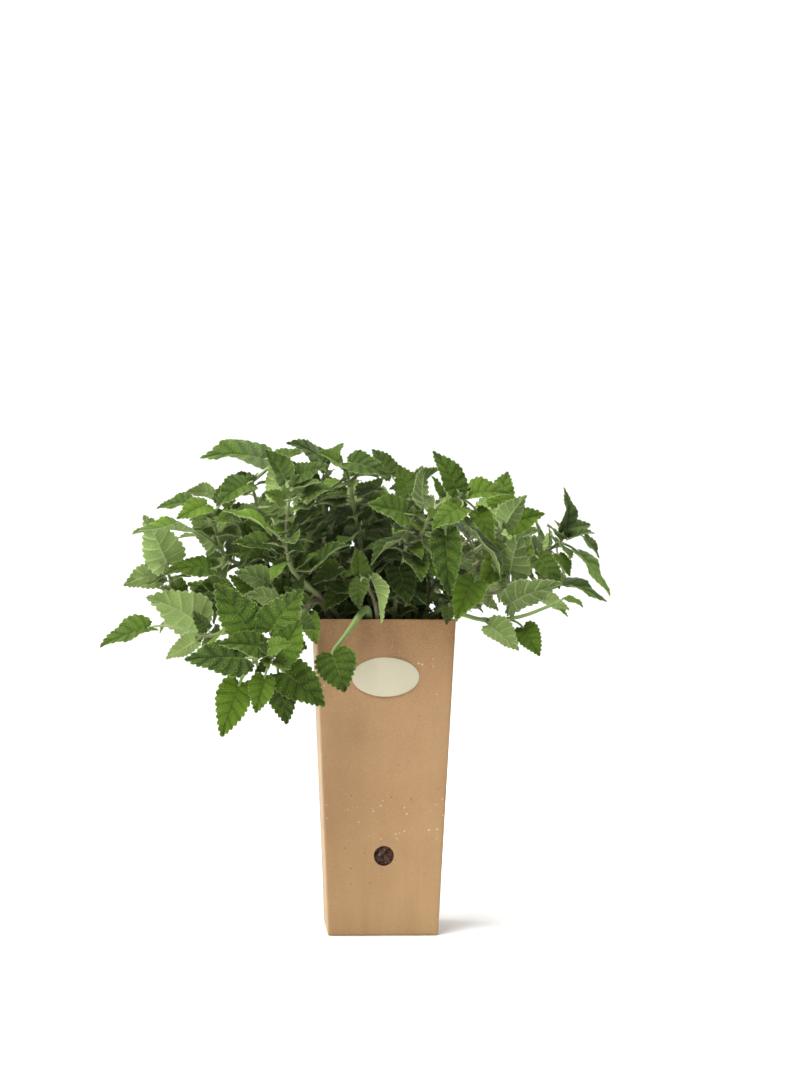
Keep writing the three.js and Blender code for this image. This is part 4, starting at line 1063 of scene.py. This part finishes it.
def apply_modifiers(piece):
    made = bpy.data.meshes.new_from_object(piece.evaluated_get(bpy.context.evaluated_depsgraph_get()))
    piece.modifiers.clear()
    old, piece.data = piece.data, made
    name = old.name
    bpy.data.meshes.remove(old)
    made.name = name


def drain_drill():
    """A round bar through the front face, where the drain hole goes."""
    angle = (np.arange(DRILL_SIDES) + 0.5) * 2 * math.pi / DRILL_SIDES
    x, z = DRAIN_RADIUS * np.cos(angle), DRAIN_HEIGHT + DRAIN_RADIUS * np.sin(angle)
    rings = [np.column_stack([x, 0 * x - RIM_WIDTH / 2 + y, z]) for y in (15, -15)]
    skin = Skin()
    skin.add_tube(np.stack(rings), 0)
    return skin.build("drain_drill", [])


def label(materials):
    """A plain oval paper label."""
    angle = np.arange(LABEL_SIDES) * 2 * math.pi / LABEL_SIDES
    z0 = POT_HEIGHT - LABEL["drop"]
    lean = math.atan2((RIM_WIDTH - BASE_WIDTH) / 2, POT_HEIGHT)

    def face(lift, shares):
        layers = []
        for share in shares:
            x = np.cos(angle) * LABEL["across"] / 2 * share
            z = np.sin(angle) * LABEL["high"] / 2 * share
            out = LABEL["off"] + lift + 0 * x
            y = -half_width(z0) - out * math.cos(lean) - z * math.sin(lean)
            layers.append(np.column_stack([x, y, z0 + z * math.cos(lean) - out * math.sin(lean)]))
        return layers

    shares = np.linspace(0.01, 0.995, LABEL_RINGS)
    thick = LABEL["thick"]
    layers = face(thick, shares) + face(thick * 0.8, [1]) + face(thick * 0.2, [1]) + face(0, shares[::-1])
    skin = Skin()
    skin.add_tube(np.stack(layers[::-1]), 0)
    piece = skin.build("paper_label", materials, sharp=50)
    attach(piece, "root")
    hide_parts("label")


# ---- Materials ----
HEART, DARK_WITHIN, LIGHT_BEYOND = (0.0, 0.01, 0.265), 0.045, 0.1  # painted shade: the plant's darkened middle, in metres
TONE_SHARE = 0.34  # how much a leaf's own tone shifts its shade
IS_STALK = 1.5  # the blade map's first value is 0 to 1 along a stem and 2 on a stalk


def srgb(*values):
    """A linear colour from sRGB values of 0 to 255."""
    return [((c / 255 + 0.055) / 1.055) ** 2.4 if c > 10 else c / 255 / 12.92 for c in values] + [1.0]


class Paint:
    """A node material with one Principled shader, whose colour is built up coat by coat."""

    def __init__(self, name, **constants):
        self.material = bpy.data.materials.new(name)
        self.material.use_nodes = True
        self.tree = self.material.node_tree
        self.shader = self.tree.nodes["Principled BSDF"]
        for key, value in constants.items():
            self.shader.inputs[key.replace("_", " ")].default_value = value

    def node(self, kind, inputs=None, **settings):
        made = self.tree.nodes.new("ShaderNode" + kind)
        for key, value in settings.items():
            setattr(made, key, value)
        for key, value in (inputs or {}).items():
            self.put(value, made.inputs[key])
        return made

    def put(self, value, socket):
        if isinstance(value, bpy.types.NodeSocket):
            self.tree.links.new(value, socket)
        else:
            socket.default_value = value

    def math(self, operation, *values):
        return self.node("Math", dict(enumerate(values)), operation=operation).outputs[0]

    def times(self, value, *others):
        for other in others:
            value = self.math("MULTIPLY", value, other)
        return value

    def vector(self, operation, *values):
        return self.node("VectorMath", dict(enumerate(values)), operation=operation)

    def band(self, value, low, high, start=0.0, end=1.0):
        """start below low, end above high, and smooth between."""
        inputs = {"Value": value, "From Min": low, "From Max": high, "To Min": start, "To Max": end}
        return self.node("MapRange", inputs, interpolation_type="SMOOTHSTEP").outputs[0]

    def blend(self, share, a, b):
        return self.node("Mix", {0: share, 6: a, 7: b}, data_type="RGBA").outputs[2]

    def start(self, share, a, b):
        """The first colour runs from a to b, in sRGB values of 0 to 255."""
        self.colour = self.blend(share, srgb(*a), srgb(*b))

    def coat(self, share, *values):
        """Covers this share of the colour with another."""
        self.colour = self.blend(share, self.colour, srgb(*values))

    def noise(self, where, scale, detail=3.0, roughness=0.5):
        inputs = {"Vector": where, "Scale": scale, "Detail": detail, "Roughness": roughness}
        return self.node("TexNoise", inputs).outputs[0]

    def stretched(self, where, scale):
        return self.node("Mapping", {"Vector": where, "Scale": scale}).outputs[0]

    def place(self):
        return self.node("TexCoord").outputs["Object"]

    def blade_map(self):
        return self.node("UVMap", uv_map="blade").outputs[0]

    def parts(self, where):
        return self.node("SeparateXYZ", {0: where}).outputs

    def attribute(self, name):
        return self.node("Attribute", attribute_name=name).outputs["Fac"]

    def bump(self, height, distance, strength=1.0):
        made = self.node("Bump", {"Height": height, "Distance": distance, "Strength": strength})
        self.put(made.outputs[0], self.shader.inputs["Normal"])

    def painted_inner_shade(self, most):
        """Painted shade: leaves and stems deep inside the plant are darkened, as the foliage round them would
        shade them.
        """
        away = self.vector("SUBTRACT", self.place(), HEART).outputs[0]
        away = self.vector("MULTIPLY", away, (1.0, 1.0, 1.4)).outputs[0]
        length = self.vector("LENGTH", away).outputs["Value"]
        self.coat(self.band(length, DARK_WITHIN, LIGHT_BEYOND, most, 0.0), 18, 28, 8)

    def finish(self, roughness=None):
        self.put(self.colour, self.shader.inputs["Base Color"])
        if roughness is not None:
            self.put(roughness, self.shader.inputs["Roughness"])
        return self.material


def blade_values(paint):
    """From a blade's map: share out to the margin, distance from a side vein, midrib, cells and borders."""
    where = paint.blade_map()
    row, side, _ = paint.parts(where)
    side = paint.math("ABSOLUTE", side)
    off = paint.math("ABSOLUTE", paint.math("SUBTRACT", row, paint.math("ROUND", row)))
    rib = paint.band(side, 0.01, 0.07, 1.0, 0.0)
    inputs = {"Vector": paint.stretched(where, (4.5, 9.0, 1.0)), "Scale": 1.0}
    cells = paint.node("TexVoronoi", inputs, feature="DISTANCE_TO_EDGE", voronoi_dimensions="2D").outputs[0]
    pillow = paint.band(cells, 0.0, 0.36)
    return side, off, rib, pillow, paint.math("SUBTRACT", 1.0, pillow)


def leaf_shade(paint, scale):
    """Slow changes over the leaves, shifted by each leaf's tone."""
    broad = paint.noise(paint.place(), scale, 2.0)
    return paint.math("MULTIPLY_ADD", paint.attribute("tone"), TONE_SHARE, broad)


def leaf_top():
    paint = Paint(
        "leaf_top", Roughness=0.55, Specular_IOR_Level=0.2,
        Sheen_Weight=0.05, Sheen_Roughness=0.5, Sheen_Tint=srgb(205, 226, 130),
    )
    side, off, rib, pillow, border = blade_values(paint)
    paint.start(paint.band(leaf_shade(paint, 35.0), 0.1, 0.9), (36, 62, 3), (104, 141, 20))
    paint.coat(paint.times(paint.attribute("young"), 0.35), 122, 144, 70)
    # painted shade: darker in the side veins' grooves and along the borders of the small cells
    groove = paint.band(off, 0.0, 0.13, 1.0, 0.0)
    paint.coat(paint.times(groove, 0.34), 28, 48, 8)
    paint.coat(paint.times(border, 0.34), 30, 50, 8)
    # painted highlight: lighter on the crests of the pillows between the veins
    paint.coat(paint.times(pillow, paint.band(off, 0.1, 0.4), 0.32), 132, 162, 48)
    paint.coat(paint.times(rib, 0.5), 118, 142, 58)
    paint.coat(paint.band(side, 0.93, 1.0, 0.0, 0.45), 154, 176, 92)
    fuzz = paint.noise(paint.place(), 900.0, 2.0)
    paint.coat(paint.band(fuzz, 0.5, 0.75, 0.0, 0.2), 168, 184, 100)
    paint.painted_inner_shade(0.55)
    height = paint.math("ADD", paint.times(groove, -0.5), pillow)
    paint.bump(paint.math("MULTIPLY_ADD", fuzz, 0.25, height), 0.0006)
    return paint.finish(paint.band(fuzz, 0.3, 0.7, 0.5, 0.7))


def leaf_under():
    paint = Paint(
        "leaf_underside", Roughness=0.75, Specular_IOR_Level=0.2,
        Sheen_Weight=0.12, Sheen_Roughness=0.5, Sheen_Tint=srgb(225, 230, 195),
    )
    side, off, rib, pillow, border = blade_values(paint)
    paint.start(paint.band(leaf_shade(paint, 40.0), 0.2, 0.8), (78, 102, 46), (126, 150, 80))
    paint.coat(paint.times(paint.attribute("young"), 0.4), 152, 174, 96)
    paint.coat(paint.times(border, 0.3), 156, 176, 104)
    veins = paint.math("MAXIMUM", paint.band(off, 0.02, 0.1, 0.8, 0.0), rib)
    paint.coat(paint.times(veins, 0.5), 180, 194, 132)
    paint.coat(paint.band(side, 0.93, 1.0, 0.0, 0.5), 190, 202, 146)
    fuzz = paint.noise(paint.place(), 800.0, 2.0)
    paint.coat(paint.band(fuzz, 0.5, 0.8, 0.0, 0.22), 196, 208, 154)
    paint.painted_inner_shade(0.55)
    height = paint.math("SUBTRACT", paint.times(veins, 1.2), paint.times(pillow, 0.5))
    paint.bump(paint.math("ADD", height, fuzz), 0.00035, 0.8)
    return paint.finish()


def stem_skin():
    """Green stems and stalks, with purple blotches that thin out towards a stem's tip, and a dark brown foot:
    partly the stems' own brown, partly painted shade.
    """
    paint = Paint(
        "stem", Roughness=0.6, Sheen_Weight=0.2, Sheen_Roughness=0.5, Sheen_Tint=srgb(230, 228, 210),
    )
    share, tone = paint.parts(paint.blade_map())[0], paint.attribute("tone")
    is_stem, is_stalk = (paint.math(kind, share, IS_STALK) for kind in ("LESS_THAN", "GREATER_THAN"))
    blotch = paint.math("MULTIPLY_ADD", tone, 0.16, paint.noise(paint.place(), 60.0))
    purple = paint.times(paint.band(blotch, 0.3, 0.65), paint.band(share, 0.2, 0.8, 1.0, 0.55), is_stem, 0.9)
    paint.start(paint.noise(paint.place(), 150.0, 2.0), (112, 130, 68), (158, 171, 112))
    paint.coat(paint.band(tone, -1.8, -1.4, 0.75, 0.0), 98, 126, 48)
    paint.coat(paint.times(is_stalk, 0.45), 92, 120, 48)
    paint.coat(purple, 98, 68, 58)
    # the stem's foot: its own brown, made darker with painted shade low in the plant
    paint.coat(paint.times(paint.band(share, 0.08, 0.3, 1.0, 0.0), is_stem, 0.5), 70, 56, 44)
    fuzz = paint.noise(paint.place(), 1400.0, 2.0)
    paint.coat(paint.band(fuzz, 0.5, 0.75, 0.0, 0.25), 190, 196, 158)
    paint.painted_inner_shade(0.35)
    paint.bump(fuzz, 0.0002, 0.8)
    return paint.finish()


def hair_skin():
    paint = Paint("hairs", Roughness=0.6)
    paint.start(paint.noise(paint.place(), 300.0, 1.0), (186, 200, 142), (226, 230, 196))
    return paint.finish()


def cardboard():
    """Brown card: flecked and worn at its folds, with painted light that makes it paler low down and on its
    side faces, and painted shade that darkens it near the rim.
    """
    paint = Paint(
        "cardboard", Roughness=0.85, Specular_IOR_Level=0.25,
        Sheen_Weight=0.3, Sheen_Roughness=0.35, Sheen_Tint=srgb(255, 242, 220),
    )
    where = paint.place()
    x, y, z = paint.parts(where)
    x, y = paint.math("ABSOLUTE", x), paint.math("ABSOLUTE", y)
    broad = paint.noise(where, 14.0, 4.0, 0.6)
    paint.start(paint.band(broad, 0.3, 0.7), (158, 123, 86), (170, 136, 98))
    # painted light: the card is paler low down, where light bounces up from the floor
    paint.coat(paint.band(z, 0.0, 0.16, 0.35, 0.0), 192, 158, 108)
    # painted shadow: the card darkens towards the rim, under the foliage
    paint.coat(paint.band(paint.math("MULTIPLY_ADD", broad, 0.05, z), 0.185, 0.255, 0.0, 0.62), 136, 97, 62)
    streaks = paint.noise(paint.stretched(where, (1.0, 1.0, 0.12)), 160.0)
    paint.coat(paint.band(streaks, 0.35, 0.7, 0.0, 0.3), 156, 121, 85)
    fibres = paint.noise(where, 900.0, 4.0, 0.7)
    paint.coat(paint.band(fibres, 0.35, 0.7, 0.0, 0.35), 190, 158, 122)
    spots = paint.node("TexVoronoi", {"Vector": where, "Scale": 210.0, "Randomness": 1.0})
    drawn = paint.node("SeparateColor", {0: spots.outputs["Color"]}).outputs
    dark, light = paint.math("LESS_THAN", drawn[0], 0.13), paint.math("GREATER_THAN", drawn[1], 0.8)
    paint.coat(paint.times(paint.band(spots.outputs[0], 0.07, 0.22, 1.0, 0.0), dark, 0.6), 120, 84, 56)
    paint.coat(paint.times(paint.band(spots.outputs[0], 0.06, 0.2, 1.0, 0.0), light, 0.6), 232, 212, 180)
    # Wear: within a few millimetres of the four folded edges, broken up by noise.
    half = paint.math("MULTIPLY_ADD", z, (RIM_WIDTH - BASE_WIDTH) / 2 / POT_HEIGHT, BASE_WIDTH / 2 * MM)
    inner = paint.math("SUBTRACT", half, paint.math("MINIMUM", x, y))
    worn = paint.math("ADD", inner, paint.times(paint.noise(where, 220.0), 0.003))
    paint.coat(paint.times(paint.band(worn, 0.0008, 0.002, 1.0, 0.0), 0.7), 226, 204, 174)
    # painted light: the left and right faces are paler, as if lit from the side
    paint.coat(paint.times(paint.math("GREATER_THAN", x, y), 0.3), 176, 158, 134)  # the side faces
    paint.bump(paint.math("ADD", fibres, paint.times(broad, 2.0)), 0.00025, 0.6)
    return paint.finish(paint.band(fibres, 0.3, 0.7, 0.78, 0.92))


def label_paper():
    paint = Paint("label_paper", Roughness=0.55)
    where = paint.place()
    fibres = paint.noise(where, 1100.0, 3.0, 0.7)
    paint.start(paint.noise(where, 70.0), (186, 179, 153), (197, 190, 164))
    paint.coat(paint.band(fibres, 0.4, 0.75, 0.0, 0.3), 184, 176, 148)
    paint.bump(fibres, 0.00006, 0.6)
    return paint.finish()


def earth():
    """Dark soil, with brown crumbs and a few pale grains."""
    paint = Paint("soil", Roughness=0.95)
    where, tone = paint.place(), paint.attribute("tone")
    paint.start(paint.band(paint.noise(where, 320.0, 4.0, 0.7), 0.35, 0.68), (16, 8, 6), (124, 86, 68))
    paint.coat(paint.band(tone, 0.2, 1.0, 0.0, 0.5), 98, 72, 56)
    paint.coat(paint.band(tone, 0.93, 0.96), 176, 164, 150)
    paint.bump(paint.noise(where, 700.0, 4.0, 0.7), 0.0008, 0.9)
    return paint.finish()


def studio_white():
    paint = Paint("studio", Roughness=0.9)
    shade = paint.noise(paint.place(), 0.6, 2.0)
    paint.colour = paint.blend(shade, (0.86, 0.86, 0.86, 1), (0.88, 0.88, 0.88, 1))
    return paint.finish()


# ---- Stage, light and camera, in metres ----
FLOOR = dict(front=-6.0, back=1.6, half=7.0, bend=1.4, top=6.0, drop=0.0003)
CAMERA = dict(lens=2606 / 1067 * 36, sensor=36, turn=-3.7, roll=0.39)  # mm and degrees
AIM = (-0.02, -0.03, 0.24)
LAMPS = dict(  # place, size, power in watts, aim
    key=((-0.55, -0.8, 2.0), 0.9, 58, AIM),
    fill=((0.3, -2.2, 0.7), 1.4, 3, AIM),
    back=((0.8, 1.1, 1.4), 1.2, 14, AIM),
    side=((-1.75, 0.3, 1.2), 1.8, 40, AIM),
    wall=((0, 0.6, 3.2), 2.5, 90, (0, 3.2, 1.4)),
)


def backdrop():
    """A floor that curves up into a wall behind."""
    bend, back = FLOOR["bend"], FLOOR["back"]
    profile = [(FLOOR["front"], 0), (back, 0)]
    for a in np.linspace(0.1, math.pi / 2, 14):
        profile.append((back + bend * math.sin(a), bend - bend * math.cos(a)))
    profile += [(back + bend, FLOOR["top"])]
    points = [(x, y, z - FLOOR["drop"]) for y, z in profile for x in (-FLOOR["half"], FLOOR["half"])]
    faces = [(2 * k, 2 * k + 1, 2 * k + 3, 2 * k + 2) for k in range(len(profile) - 1)]
    mesh = bpy.data.meshes.new("floor")
    mesh.from_pydata(points, [], faces)
    mesh.polygons.foreach_set("use_smooth", [True] * len(faces))
    mesh.materials.append(studio_white())
    floor = bpy.data.objects.new("floor", mesh)
    bpy.context.scene.collection.objects.link(floor)


def lamp(name, where, size, power, aim):
    data = bpy.data.lights.new(name, "AREA")
    data.shape, data.size, data.energy = "SQUARE", size, power
    light = bpy.data.objects.new(name, data)
    light.location = where
    light.rotation_euler = (Vector(aim) - Vector(where)).to_track_quat("-Z", "Y").to_euler()
    bpy.context.scene.collection.objects.link(light)


def camera():
    data = bpy.data.cameras.new("camera")
    data.lens, data.sensor_width = CAMERA["lens"], CAMERA["sensor"]
    data.clip_start, data.clip_end = 0.05, 60
    made = bpy.data.objects.new("camera", data)
    level = Matrix.Rotation(math.radians(CAMERA["turn"]), 4, "Z") @ Matrix.Rotation(math.pi / 2, 4, "X")
    roll = Matrix.Rotation(math.radians(CAMERA["roll"]), 4, "Z")
    made.matrix_world = Matrix.Translation(Vector(EYE) * MM) @ level @ roll
    bpy.context.scene.collection.objects.link(made)
    bpy.context.scene.camera = made


def world(strength):
    made = bpy.data.worlds.new("studio")
    made.use_nodes = True
    background = made.node_tree.nodes["Background"].inputs
    background[0].default_value, background[1].default_value = (1, 1, 1, 1), strength
    bpy.context.scene.world = made


camera()
world(0.1)
backdrop()
for name, values in LAMPS.items():
    lamp(name, *values)
bpy.context.scene.view_settings.view_transform = "Standard"
bpy.context.scene.view_settings.look = "None"

green = [leaf_top(), leaf_under(), stem_skin(), hair_skin()]
for shoot in shoots:
    foliage(shoot, green)
soil([earth()])
pot([cardboard()])
label([label_paper()])
